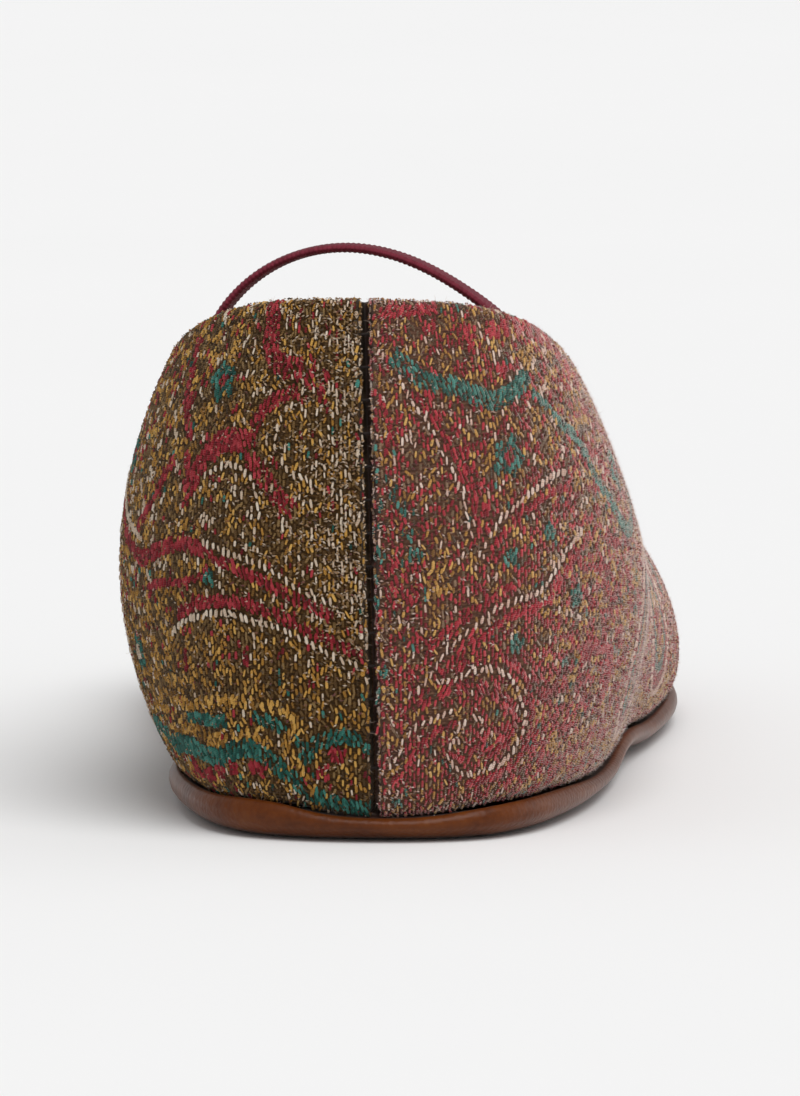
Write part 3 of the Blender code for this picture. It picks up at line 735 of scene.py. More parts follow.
class Chart:
    """A flat map of one part of the cloth: the two sides, unrolled, and the vamp, seen from above."""

    def __init__(self, floats, name):
        self.floats, self.name = floats, name
        if name == "vamp":
            in_front = floats.centre[:, 1] > VAMP_FROM_ALONG
            self.numbers = np.flatnonzero(in_front & (floats.rise > VAMP_FROM_RISE))
            self.places = floats.centre[self.numbers, :2]
        else:
            self.numbers = np.flatnonzero(floats.side == SIGNS[name])
            self.places = np.column_stack([floats.reach, floats.rise])[self.numbers]
        self.tree = search_tree([(u, v, 0.0) for u, v in self.places])

    def locate(self, points):
        """Points of the map on the cloth: place, directions up the cloth, around it and outward, and side."""
        nearest = np.array([self.tree.find((u, v, 0.0))[1] for u, v in points])
        i = self.numbers[nearest]
        off = points - self.places[nearest]
        up, outward = self.floats.along[i], self.floats.outward[i]
        around = unit(np.cross(up, outward))
        if self.name == "vamp":
            drop = -(outward[:, :2] * off).sum(axis=1) / outward[:, 2]
            place = self.floats.centre[i] + np.column_stack([off, drop])
        else:
            around = SIGNS[self.name] * around
            place = self.floats.centre[i] + off[:, :1] * around + off[:, 1:] * up
        return place, up, around, outward, self.floats.side[i]

    def directions(self, tangents, up, around):
        """Directions on the cloth of tangents on the map."""
        if self.name == "vamp":
            flat = np.column_stack([tangents, np.zeros(len(tangents))])
            outward = np.cross(around, up)
            return unit(flat - outward * (flat * outward).sum(axis=1, keepdims=True))
        return tangents[:, :1] * around + tangents[:, 1:] * up


class Weave:
    """All floats with their colours: the ground, with drops, vines, runs, flowers and spots laid into it."""

    def __init__(self, floats, rng):
        self.rng = rng
        self.charts = {name: Chart(floats, name) for name in ("lateral", "medial", "vamp")}
        self.kept = np.ones(len(floats.side), dtype=bool)
        self.laid = []
        colour = ground_colours(floats, rng)
        runs = [run for drop in DROPS for run in drop_runs(drop)] + SIDE_VINES + HEEL_RUNS
        for run in sorted(runs, key=lambda run: run.colour == "cream"):
            self.lay_run(run)
        for flower in FLOWERS + SIDE_FLOWERS:
            self.lay_patch(flower.side, (flower.reach, flower.rise), flower.radius, flower.petals, flower.eye)
        for spot in SPOTS:
            self.lay_patch(spot.side, (spot.reach, spot.rise), spot.radius, spot.colour, spot.colour)
        wide = np.clip(floats.room / COLUMN_PITCH, *FLOAT_FITS)
        ground = np.column_stack([floats.centre, floats.along, floats.outward, colour, wide, floats.side])
        table = np.concatenate([ground[self.kept]] + self.laid)
        self.centre, self.along, self.outward = table[:, 0:3], unit(table[:, 3:6]), unit(table[:, 6:9])
        self.colour, self.wide = table[:, 9].astype(int), table[:, 10]
        self.lateral = rng.uniform(size=len(table)) < lateral_share(self.centre, table[:, 11])

    def clear(self, chart, points, distance):
        """Takes out the floats of the ground, and those laid before, that lie near the points of a map."""
        place = chart.locate(points)[0]
        tree = search_tree(place)
        floats = chart.floats
        low, high = place.min(axis=0) - 2, place.max(axis=0) + 2
        near = np.flatnonzero(self.kept & np.all((floats.centre > low) & (floats.centre < high), axis=1))
        gone = [i for i in near if tree.find(floats.centre[i])[2] < distance]
        self.kept[gone] = False
        for number, rows in enumerate(self.laid):
            beside = np.all((rows[:, :3] > low) & (rows[:, :3] < high), axis=1)
            gone = [i for i in np.flatnonzero(beside) if tree.find(rows[i, :3])[2] < distance]
            self.laid[number] = np.delete(rows, gone, axis=0)

    def lay(self, chart, points, tangents, colour, slant):
        """Floats at points of a map, leaning from straight up the cloth towards the tangents."""
        place, up, around, outward, side = chart.locate(points)
        rising = np.where(tangents[:, 1:] < 0, -tangents, tangents) if chart.name != "vamp" else tangents
        lean = chart.directions(rising, up, around)
        lean = lean * np.where((lean * up).sum(axis=1, keepdims=True) < 0, -1, 1)
        along = unit(up + slant * lean)
        numbers = np.broadcast_to(colour, len(points))
        wide = np.ones(len(points))
        raised = np.where(numbers == CREAM, CREAM_RAISED, RUN_RAISED)[:, None]
        self.laid.append(np.column_stack([place + raised * outward, along, outward, numbers, wide, side]))

    def lay_run(self, run):
        """The rows of floats of one run."""
        chart = self.charts[run.side]
        curve, at = smooth_curve(run.points)
        tangent = unit(np.gradient(curve, axis=0))
        across = np.column_stack([-tangent[:, 1], tangent[:, 0]])
        rows = max(1, round(run.width / RUN_PITCH))
        steps, offsets = [], []
        for row in range(rows):
            place = RUN_SHIFT * (row % 2) + self.rng.uniform(0, RUN_SHIFT_JITTER)
            while place < at[-1]:
                i = min(int(np.searchsorted(at, place)), len(at) - 1)
                shown = not run.dash or (place / run.dash) % 1 < DASH_SHOWN
                if shown and (rows == 1 or self.rng.uniform() < RUN_COVER):
                    steps.append(i)
                    offsets.append((row - (rows - 1) / 2) * RUN_PITCH)
                step = RUN_STEP + RUN_STEP_RISING * abs(tangent[i, 1])
                step += self.rng.uniform(-RUN_STEP_JITTER, RUN_STEP_JITTER)
                place += step * (SINGLE_ROW_STEP if rows == 1 else 1.0)
        wander = self.rng.normal(0, RUN_WANDER, (len(steps), 2))
        points = curve[steps] + np.array(offsets)[:, None] * across[steps] + wander
        self.clear(chart, points, CREAM_CLEARS if run.colour == "cream" else RUN_CLEARS)
        self.lay(chart, points, tangent[steps], COLOURS.index(run.colour), RUN_SLANTS[run.side])

    def lay_patch(self, side, centre, radius, colour, eye):
        """A round patch of floats, drawn in between its petals, with an eye in its middle."""
        chart = self.charts[side]
        wide, high = (radius + margin for margin in FLOWER_MARGINS)
        columns = np.arange(-wide, wide, RUN_PITCH)
        rows = np.arange(-high, high, ROW_PITCH)
        grid = [(u, v + ROW_PITCH / 2 * (i % 2)) for i, u in enumerate(columns) for v in rows]
        off = np.array(grid) + self.rng.normal(0, RUN_WANDER, (len(grid), 2))
        away = np.linalg.norm(off, axis=1)
        petal = radius * (1 + PETAL_DEPTH * np.cos(PETAL_COUNT * np.arctan2(off[:, 1], off[:, 0])))
        off, away = off[away < petal], away[away < petal]
        self.clear(chart, np.array(centre) + off, FLOWER_CLEARS)
        numbers = np.where(away < EYE_SHARE * radius, COLOURS.index(eye), COLOURS.index(colour))
        self.lay(chart, np.array(centre) + off, np.tile((0.0, 1.0), (len(off), 1)), numbers, 0.0)


# Shape of one yarn float: rings along it with their girth, and the points of a ring across it and up
FLOAT_RINGS = ((-0.6, 0.94), (0.6, 0.94))
FLOAT_SECTION = ((-1.0, -0.4), (-0.55, 0.86), (0.55, 0.86), (1.0, -0.4))
FLOAT_TIPS = ((-1.0, 0.0, -0.5), (1.0, 0.0, -0.5))
FLOAT_ROUNDING, FLOAT_UPWARD = (0.5, 1.0, 1.0), (0.0, 0.0, 0.5)     # the way its points face
FLOAT_FITS = (0.7, 1.35)      # how far a float gets narrower or wider with the room between columns
FLOAT_SWAY, FLOAT_SWAY_LOOSE, FLOAT_TILT = 0.17, 1.9, 0.06
LENGTH_RANGE, WIDTH_RANGE, HEIGHT_RANGE = (0.7, 1.2), (0.7, 1.2), (0.7, 1.3)
CREAM_NARROWER, UMBER_LOWER = 0.88, 0.7
CREAM_SHADE_FROM = 0.4        # cream has no dark floats
SHADE_SHIFT = (7, 3)          # how far the yarn's plies shift from float to float


def copies(count, size, *shapes):
    """Faces of many copies of a shape with this many points, for copies stored one after another."""
    first = (np.arange(count) * size)[:, None, None]
    return [(first + np.array(faces)).reshape(-1, len(faces[0])) for faces in shapes]


def float_template():
    """Points of one float as shares of its size (along, across, up), its quads and its triangles."""
    around = len(FLOAT_SECTION)
    points = [(u, across * girth, up * girth) for u, girth in FLOAT_RINGS for across, up in FLOAT_SECTION]
    first_tip, last_tip = len(points), len(points) + 1
    points += FLOAT_TIPS
    end = (len(FLOAT_RINGS) - 1) * around
    triangles = []
    for i in range(around):
        j = (i + 1) % around
        triangles += [(first_tip, j, i), (last_tip, end + i, end + j)]
    return np.array(points), ring_faces(len(FLOAT_RINGS), around), triangles


def float_meshes(weave, rng):
    """Joined floats of each colour and side: (points, faces, texture place, shade, normals)."""
    shape, quads, triangles = float_template()
    rounded = unit(shape * FLOAT_ROUNDING + FLOAT_UPWARD)
    count = len(weave.colour)
    across = unit(np.cross(weave.along, weave.outward))
    cream, umber = weave.colour == CREAM, weave.colour == UMBER
    loose = umber | (weave.colour == GOLD)
    sway = rng.normal(0, FLOAT_SWAY, count) * np.where(loose, FLOAT_SWAY_LOOSE, 1.0)
    tilt = rng.normal(0, FLOAT_TILT, count)
    along = unit(weave.along + sway[:, None] * across + tilt[:, None] * weave.outward)
    across = unit(np.cross(along, weave.outward))
    length = FLOAT_HALF_LENGTH * rng.uniform(*LENGTH_RANGE, count)
    width = FLOAT_HALF_WIDTH * rng.uniform(*WIDTH_RANGE, count) * weave.wide
    width *= np.where(cream, CREAM_NARROWER, 1.0)
    height = FLOAT_HEIGHT * rng.uniform(*HEIGHT_RANGE, count) * np.where(umber, UMBER_LOWER, 1.0)
    shade = rng.uniform(size=count)
    shade = np.where(cream, CREAM_SHADE_FROM + (1 - CREAM_SHADE_FROM) * shade, shade)
    made = {}
    for number, side in itertools.product(range(len(COLOURS)), SIGNS):
        i = np.flatnonzero((weave.colour == number) & (weave.lateral == (side == "lateral")))
        sizes = np.stack([length[i], width[i], height[i]], axis=1)[:, None, :] * shape
        frames = np.stack([along[i], across[i], weave.outward[i]], axis=1)
        points = weave.centre[i, None, :]
        for axis in range(3):
            points = points + frames[:, None, axis] * sizes[..., axis, None]
        texture = sizes[..., :2] + shade[i, None, None] * SHADE_SHIFT
        normals = FLOAT_FLATNESS * weave.outward[i, None, :] + (1 - FLOAT_FLATNESS) * rounded @ frames
        made[COLOURS[number], side] = (points.reshape(-1, 3), copies(len(i), len(shape), quads, triangles),
                                       texture.reshape(-1, 2), np.repeat(shade[i], len(shape)),
                                       unit(normals).reshape(-1, 3))
    return made


# Ends of the weft between the floats
FLECK_COUNT = 24000
PALE_FLECKS = 2600       # how many of them are pale ones beside the seam
FLECK_LENGTHS = (0.09, 0.24)
FLECK_WIDTHS = (0.05, 0.09)
FLECK_RIDGE = 1.6        # height over width
FLECK_SLANT = 0.8
FLECK_RAISED = 0.10
FLECK_FACES = [(0, 2, 1), (0, 3, 2), (4, 1, 2), (4, 2, 3), (0, 1, 3), (4, 3, 1)]
FLECK_DARKER = 1.25      # power that makes dark ones more frequent
PALE_SHADES = (0.58, 0.98)
PALE_FROM, PALE_OVER = 10.0, 8.0          # the rise over which pale ones set in on the medial side
PALE_REACH_MEDIAL, PALE_REACH_LATERAL, PALE_LATERAL = 4.5, 3.0, 0.6


def make_flecks(floats, rng):
    """Short ends of the weft that show between the floats, by side: (points, faces, shade)."""
    medial = (floats.side < 0) * np.clip((floats.rise - PALE_FROM) / PALE_OVER, 0, 1)
    lateral = PALE_LATERAL * (floats.side > 0)
    paler = medial * np.exp(-floats.reach / PALE_REACH_MEDIAL)
    paler += lateral * np.exp(-floats.reach / PALE_REACH_LATERAL)
    chosen = np.concatenate([rng.choice(len(floats.side), FLECK_COUNT - PALE_FLECKS),
                             rng.choice(len(floats.side), PALE_FLECKS, p=paler / paler.sum())])
    up, outward = floats.along[chosen], floats.outward[chosen]
    around = unit(np.cross(up, outward))
    shift = rng.uniform(-1, 1, (FLECK_COUNT, 2)) * (0.5 * COLUMN_PITCH, 0.5 * ROW_PITCH)
    centre = floats.centre[chosen] + shift[:, :1] * around + shift[:, 1:] * up + FLECK_RAISED * outward
    along = unit(around + rng.normal(0, FLECK_SLANT, FLECK_COUNT)[:, None] * up)
    across = unit(np.cross(along, outward))
    length = rng.uniform(*FLECK_LENGTHS, FLECK_COUNT)[:, None]
    thick = rng.uniform(*FLECK_WIDTHS, FLECK_COUNT)[:, None]
    ridge = centre + FLECK_RIDGE * thick * outward
    points = np.stack([centre - length * along, centre + thick * across, ridge,
                       centre - thick * across, centre + length * along], axis=1)
    shade = rng.uniform(size=FLECK_COUNT) ** FLECK_DARKER
    shade[-PALE_FLECKS:] = rng.uniform(*PALE_SHADES, PALE_FLECKS)
    lateral = rng.uniform(size=FLECK_COUNT) < lateral_share(centre, floats.side[chosen])
    made = {}
    for side in SIGNS:
        i = np.flatnonzero(lateral == (side == "lateral"))
        size = points.shape[1]
        made[side] = points[i].reshape(-1, 3), copies(len(i), size, FLECK_FACES), np.repeat(shade[i], size)
    return made


def spokes(directions, rng):
    """Three directions evenly around each of the given ones, the first at random."""
    side = unit(np.cross(directions, rng.normal(size=(len(directions), 3))))
    other = np.cross(directions, side)
    turns = [2 * math.pi * k / 3 for k in range(3)]
    return [math.cos(a) * side + math.sin(a) * other for a in turns]


HAIR_STEPS = (0.0, 0.35, 0.7)
HAIR_TAPER = 0.6


def hairs(roots, directions, length, thickness, droop, rng):
    """Fine curved fibres as one mesh: each a three-sided spindle from its root to a point."""
    count = len(roots)
    around = spokes(directions, rng)
    bend = around[0] * (droop * rng.uniform(-1, 1, count) * length)[:, None]
    rings = []
    for t in HAIR_STEPS:
        middle = roots + directions * (t * length)[:, None] + bend * t ** 2
        rings += [middle + thickness * (1 - HAIR_TAPER * t) * spoke for spoke in around]
    rings.append(roots + directions * length[:, None] + bend)
    tip = len(rings) - 1
    triangles = [(2, 1, 0)] + [(tip - 3 + k, tip - 3 + (k + 1) % 3, tip) for k in range(3)]
    faces = copies(count, len(rings), ring_faces(len(HAIR_STEPS), 3), triangles)
    return np.stack(rings, axis=1).reshape(-1, 3), faces


def ring_faces(rings, around):
    """Quads between one ring of points and the next, for rings stored one after another."""
    r, i = np.meshgrid(np.arange(rings - 1), np.arange(around), indexing="ij")
    j = (i + 1) % around
    quads = np.stack([r * around + i, r * around + j, (r + 1) * around + j, (r + 1) * around + i], axis=-1)
    return quads.reshape(-1, 4)


def strip_across(first, around, upward):
    """A face over a ring as strips from side to side, so that it can follow the sole's curve."""
    half = around // 2
    triangles = np.array([(0, 1, around - 1), (half - 1, half, half + 1)])
    i = np.arange(1, half - 1)
    quads = np.column_stack([i, i + 1, around - i - 1, around - i])
    order = slice(None) if upward else slice(None, None, -1)
    return [first + quads[:, order], first + triangles[:, order]]


def stacked_solid(rings):
    """A closed solid from rings listed from the bottom up, closed below and above by strips."""
    around = len(rings[0])
    last_ring = (len(rings) - 1) * around
    faces = [ring_faces(len(rings), around)]
    faces += strip_across(0, around, upward=False) + strip_across(last_ring, around, upward=True)
    return np.concatenate(rings), faces


CORD_END = 0.55           # girth of a cord at its ends
CORD_SIDEWAYS = (0.31, 0.2, 0.93)     # a direction that no cord goes in


def tubes(paths, radius, around=7):
    """Round cords along paths of the same number of points, closed at both ends, as one mesh."""
    paths = np.asarray(paths)
    count, steps = paths.shape[:2]
    forward = unit(np.gradient(paths, axis=1))
    side = unit(np.cross(forward, CORD_SIDEWAYS))
    other = np.cross(forward, side)
    angle = 2 * math.pi * np.arange(around) / around
    girth = np.full(steps, radius)
    girth[[0, -1]] *= CORD_END
    ring = np.cos(angle)[:, None] * side[:, :, None, :] + np.sin(angle)[:, None] * other[:, :, None, :]
    points = paths[:, :, None, :] + girth[None, :, None, None] * ring
    caps = np.stack([np.arange(around)[::-1], (steps - 1) * around + np.arange(around)])
    return points.reshape(-1, 3), copies(count, steps * around, ring_faces(steps, around), caps)


# The edge of the sole, from underneath up to its rolled lip: how far in from the widest line, and height
SoleRow = namedtuple("SoleRow", "inset height")
SOLE_PROFILE = [SoleRow(*row) for row in (
    (4.6, 0.0), (3.2, 0.05), (2.2, 0.18), (1.4, 0.42), (0.8, 0.74), (0.36, 1.1), (0.1, 1.45), (0.0, 1.82),
    (0.03, 2.2), (0.16, 2.55), (0.38, 2.86), (0.64, 3.02), (0.86, 2.98), (0.98, 2.8), (1.02, 2.55),
)]
SOLE_WAVE_FROM = 1.0      # height from which the edge rises and falls with the turned leather


def make_sole(last):
    """The outsole with a soft rolled edge that rises and falls a little around the shoe."""
    wave = last.lip_wave()
    outline = last.plan + SOLE_MARGIN * last.outward
    top = max(row.height for row in SOLE_PROFILE)
    rings = []
    for row in SOLE_PROFILE:
        plan = outline - row.inset * last.outward
        share = np.clip((row.height - SOLE_WAVE_FROM) / (top - SOLE_WAVE_FROM), 0, 1)
        rings.append(np.column_stack([plan, row.height + share * wave + lift(plan[:, 1])]))
    return stacked_solid(rings)


# The edge of the insole: how far in, and height
SOCK_EDGE = [(0.0, 0.0), (0.0, 0.9), (0.08, 1.16), (0.25, 1.33), (0.5, INSOLE_THICKNESS)]


def make_insole(last, wall):
    """The insole sock: a thin pad whose rounded edge follows the lean of the lining."""
    foot, above = (wall.lining[:, row] for row in LINING_ROWS[:-3:-1])
    lean = (above - foot)[:, :2] / (above - foot)[:, 2:]
    rings = []
    for inset, height in SOCK_EDGE:
        plan = foot[:, :2] + height * lean - (SOCK_GAP + inset) * last.outward
        rings.append(np.column_stack([plan, SOLE_THICKNESS + GAP + height + lift(plan[:, 1])]))
    return stacked_solid(rings)


# The elastic of the strap
STRAP_WEFTS = 145
STRAP_ACROSS = 26
STRAP_RIBS = 9
STRAP_RIB_HEIGHT = 0.07
STRAP_WEFT_THICKENS = 0.10      # how much thicker and wider the band is at each weft
STRAP_WEFT_WIDENS = 0.010
STRAP_SQUARENESS = 7            # power that makes the band's section flat with round edges
TAB_POINTS = 4


def strap_tab(last, lateral):
    """Points up the wall's inner face for one sewn end of the strap, and the collar's direction there."""
    station = last.station_near(STRAP_ALONG, lateral)
    share = np.linspace(1 - TAB_SHARE, 1, TAB_POINTS)
    points = last.inner(share, WALL + GAP + STRAP_THICKNESS / 2)[station]
    collar = unit(last.top[station + 1] - last.top[station - 1])
    return points, collar * (1 if lateral else -1)


def strap_line(last):
    """The strap's middle line, from one sewn end over the arch to the other, with its width's direction."""
    lateral, lateral_collar = strap_tab(last, True)
    medial, medial_collar = strap_tab(last, False)
    arch = np.array([(row.across, STRAP_ALONG, row.height) for row in STRAP_ARCH])
    instep = np.array([0.0, math.cos(STRAP_PITCH), -math.sin(STRAP_PITCH)])
    points = np.concatenate([lateral, arch, medial[::-1]])
    counts = [len(lateral), len(arch), len(medial)]
    widths = np.repeat([lateral_collar, instep, medial_collar], counts, axis=0)
    knots = chord(points)
    at = np.linspace(0, knots[-1], 2 * STRAP_WEFTS + 1)
    return spline(knots, points, at), unit(spline(knots, widths, at)), at


def make_strap(last):
    """The elastic band with its lengthwise ribs: points, faces and texture place in millimetres."""
    line, width, at = strap_line(last)
    forward = unit(np.gradient(line, axis=0))
    width = unit(width - forward * np.sum(width * forward, axis=1, keepdims=True))
    face = np.cross(forward, width)
    turn = 2 * math.pi * np.arange(STRAP_ACROSS * 2) / (STRAP_ACROSS * 2)
    across = np.cos(turn)
    rounded = np.sqrt(1 - abs(across) ** STRAP_SQUARENESS)
    rib = STRAP_RIB_HEIGHT * (0.5 - 0.5 * np.cos(math.pi * STRAP_RIBS * (across + 1)))
    thick = np.sign(np.round(np.sin(turn), 9)) * rounded * (STRAP_THICKNESS / 2 - STRAP_RIB_HEIGHT / 2 + rib)
    across = across * STRAP_WIDTH / 2
    weft = np.where(np.arange(len(line)) % 2, 1, -1)[:, None]
    wide = across * (1 + STRAP_WEFT_WIDENS * weft)
    thick = thick * (1 + STRAP_WEFT_THICKENS * weft)
    points = line[:, None] + wide[..., None] * width[:, None] + thick[..., None] * face[:, None]
    corners = len(turn)
    total = len(line) * corners
    ends = np.stack([np.arange(corners)[::-1], np.arange(total - corners, total)])
    texture = np.stack(np.broadcast_arrays(at[:, None], across[None, :]), axis=-1)
    return points.reshape(-1, 3), [ring_faces(len(line), corners), ends], texture.reshape(-1, 2)


def make_upper(last, wall):
    """The wall as one mesh: points, faces, texture place, lateral share and how many faces are cloth."""
    rings = [*wall.outer.transpose(1, 0, 2), *wall.rim.transpose(1, 0, 2)]
    cloth_rings = OUTER_ROWS + RIM_STEPS // 2
    rings += list(wall.lining[:, LINING_ROWS].transpose(1, 0, 2))
    around = len(last.at)
    first = (len(rings) - 1) * around
    i = np.arange(around)
    j = (i + 1) % around
    foot = np.column_stack([first + i, first + j, j, i])
    points = np.stack(rings)
    climb = chord(points)
    texture = np.stack([np.broadcast_to(last.from_seam, climb.shape), climb], axis=-1)
    faces = [ring_faces(len(rings), around), foot]
    share = lateral_share(points.reshape(-1, 3), np.tile(last.sign, len(rings)))
    return points.reshape(-1, 3), faces, texture.reshape(-1, 2), share, (cloth_rings - 1) * around


# Thread of the back seam
THREAD_RADIUS = 0.12
THREAD_HOLD = 0.6         # how far from the seam a stitch goes into the cloth
THREAD_SINK, THREAD_SAG = 0.2, 0.5     # how far its ends and its middle lie below the face
THREAD_BEND = 0.55        # share of the way to the middle at which it bends
THREAD_TOP = 0.8          # no stitch nearer to the rim than this


def make_seam_thread(last, wall):
    """Thread across the gap of the back seam, one bar at each stitch."""
    lateral = int(np.searchsorted(last.from_seam[:last.toe], THREAD_HOLD))
    holds = lateral, len(last.at) - lateral
    bars = []
    for place in np.arange(1.5 * STITCH_PITCH, wall.rise[0, -1] - THREAD_TOP, STITCH_PITCH):
        first, second = (np.array([np.interp(place, wall.rise[station], values)
                                   for values in wall.outer[station].T]) for station in holds)
        middle = (first + second) / 2 + (0, THREAD_SAG, 0)
        first, second = first + (0, THREAD_SINK, 0), second + (0, THREAD_SINK, 0)
        bends = [blend(end, middle, THREAD_BEND) for end in (first, second)]
        bars.append([first, bends[0], middle, bends[1], second])
    return tubes(bars, THREAD_RADIUS)


# Loose fibres, and nap: on the lateral side its pale fibres stand in for a painted haze of light
FUZZ_COUNT = 2200
FUZZ_AT_EDGES = 0.3       # share of the fibres that stand along the seam, the sole line and the rim
FUZZ_SEAM, FUZZ_SOLE, FUZZ_RIM = 1.2, 0.9, 0.7     # how near to these counts as along them
FUZZ_SPREAD, FUZZ_SHIFT = 0.75, 0.3
FUZZ_LENGTHS, FUZZ_THICKNESS, FUZZ_DROOP = (0.2, 0.7), 0.017, 0.7


def make_fuzz(floats, rng):
    """Loose fibres standing off the yarn, more of them along the seam, the sole line and the rim."""
    at_edge = (floats.reach < FUZZ_SEAM) | (floats.rise < FUZZ_SOLE) | (floats.from_top < FUZZ_RIM)
    edge_count = round(FUZZ_COUNT * FUZZ_AT_EDGES)
    chosen = np.concatenate([rng.choice(np.flatnonzero(at_edge), edge_count),
                             rng.choice(len(at_edge), FUZZ_COUNT - edge_count)])
    directions = unit(floats.outward[chosen] + FUZZ_SPREAD * rng.normal(size=(FUZZ_COUNT, 3)))
    roots = floats.centre[chosen] + FUZZ_SHIFT * rng.uniform(-1, 1, (FUZZ_COUNT, 1)) * floats.along[chosen]
    length = rng.uniform(*FUZZ_LENGTHS, FUZZ_COUNT)
    return hairs(roots, directions, length, FUZZ_THICKNESS, FUZZ_DROOP, rng)


NAP_COUNT = 25000
NAP_LENGTHS = (0.22, 0.55)
NAP_THICKNESS = 0.028
NAP_SPREAD = 0.7
NAP_FACES = [(2, 1, 0), (0, 1, 3), (1, 2, 3), (2, 0, 3)]
# How thickly the pale nap stands by distance from the seam, where it stands in for a painted haze of light
NapRow = namedtuple("NapRow", "reach density")
NAP_HAZE_ROWS = [NapRow(14.0, 0.0), NapRow(30.0, 1.0), NapRow(58.0, 1.0), NapRow(85.0, 0.45)]


def make_nap_and_haze(floats, rng):
    """The pale nap of the lateral side: fine short fibres, each a three-sided spike. Most of them stand
    partway along the side, where their pale fibres stand in for a painted haze of light.
    """
    density = np.interp(floats.reach, *zip(*NAP_HAZE_ROWS)) * lateral_share(floats.centre, floats.side)
    chosen = rng.choice(len(density), NAP_COUNT, p=density / density.sum())
    direction = unit(floats.outward[chosen] + NAP_SPREAD * rng.normal(size=(NAP_COUNT, 3)))
    shift = rng.uniform(-0.5, 0.5, (NAP_COUNT, 2)) * (COLUMN_PITCH, ROW_PITCH)
    around = unit(np.cross(floats.along[chosen], floats.outward[chosen]))
    root = floats.centre[chosen] + shift[:, :1] * around + shift[:, 1:] * floats.along[chosen]
    base = [root + NAP_THICKNESS * spoke for spoke in spokes(direction, rng)]
    tip = root + direction * rng.uniform(*NAP_LENGTHS, (NAP_COUNT, 1))
    points = np.stack([*base, tip], axis=1)
    return points.reshape(-1, 3), copies(NAP_COUNT, points.shape[1], NAP_FACES)


class Finish:
    """A procedural material being put together from nodes."""

    def __init__(self, name, roughness, sheen=0.0, sheen_roughness=0.4, specular=0.3):
        self.material = bpy.data.materials.new(name)
        self.material.use_nodes = True
        self.nodes = self.material.node_tree.nodes
        self.links = self.material.node_tree.links
        self.shader = self.nodes["Principled BSDF"]
        values = {"Roughness": roughness, "Sheen Weight": sheen, "Sheen Roughness": sheen_roughness,
                  "Specular IOR Level": specular}
        for socket, value in values.items():
            self.shader.inputs[socket].default_value = value

    def feed(self, socket, value):
        """Gives a socket its value, or links it to the socket that feeds it."""
        if isinstance(value, bpy.types.NodeSocket):
            self.links.new(value, socket)
        else:
            socket.default_value = value

    def add(self, kind, **inputs):
        """A node of this kind, with what its inputs are fed."""
        node = self.nodes.new(kind)
        for name, value in inputs.items():
            self.feed(node.inputs[name], value)
        return node

    def math(self, operation, first, second):
        """A sum or a product of two values."""
        node = self.nodes.new("ShaderNodeMath")
        node.operation = operation
        self.feed(node.inputs[0], first)
        self.feed(node.inputs[1], second)
        return node.outputs[0]

    def weighted(self, *terms):
        """The sum of values, each with its weight."""
        total = None
        for value, weight in terms:
            product = self.math("MULTIPLY", value, weight)
            total = product if total is None else self.math("ADD", total, product)
        return total

    def wave(self, scale, distortion, turn=0.0, direction="X"):
        """Bands across the piece's own chart."""
        node = self.add("ShaderNodeTexWave", Vector=self.place(uv=True, turn=turn), Scale=scale,
                        Distortion=distortion)
        node.bands_direction = direction
        return node.outputs[1]

    def place(self, uv=False, scale=(1.0, 1.0, 1.0), turn=0.0):
        """Texture place in millimetres, on the piece's own chart or in space."""
        source = self.nodes.new("ShaderNodeTexCoord").outputs["UV" if uv else "Object"]
        unit_scale = 1.0 if uv else 1.0 / MM
        node = self.add("ShaderNodeMapping", Vector=source, Scale=tuple(unit_scale * s for s in scale))
        node.inputs["Rotation"].default_value[2] = turn
        return node.outputs[0]

    def noise(self, place, scale, detail=3.0, rough=0.55):
        """A cloudy value from 0 to 1."""
        node = self.add("ShaderNodeTexNoise", Vector=place, Scale=scale, Detail=detail, Roughness=rough)
        return node.outputs[0]

    def ramp(self, value, stops):
        """Colours blended along a value from 0 to 1. stops are (place, colour)."""
        stops = list(stops)
        node = self.add("ShaderNodeValToRGB", Fac=value)
        points = node.color_ramp.elements
        while len(points) < len(stops):
            points.new(0.5)
        for point, (place, colour) in zip(points, stops):
            point.position = place
            point.color = (*colour, 1.0)
        return node.outputs[0]

    def mix(self, share, first, second):
        """A colour between two."""
        node = self.nodes.new("ShaderNodeMix")
        node.data_type = "RGBA"
        for number, source in ((0, share), (6, first), (7, second)):
            self.links.new(source, node.inputs[number])
        return node.outputs[2]

    def colour(self, source):
        self.links.new(source, self.shader.inputs["Base Color"])

    def shade(self):
        """The piece's own value at each point, from 0 to 1."""
        node = self.nodes.new("ShaderNodeAttribute")
        node.attribute_name = "shade"
        return node.outputs["Fac"]

    def bump(self, height, distance, strength=1.0):
        """Fine relief, in millimetres."""
        node = self.add("ShaderNodeBump", Strength=strength, Distance=distance * MM, Height=height)
        self.links.new(node.outputs[0], self.shader.inputs["Normal"])


# How strongly the nap of each side's yarns catches the light where the cloth turns away: strong on the
# lateral side and weak on the medial side, a lit and a shaded copy of the same yarn
YARN_SHEEN_LIT_AND_SHADED = {"lateral": 0.95, "medial": 0.09}
NAP_TINT = (1.0, 0.87, 0.79)
PLY_TURN, TWILL_TURN = math.radians(38), math.radians(45)

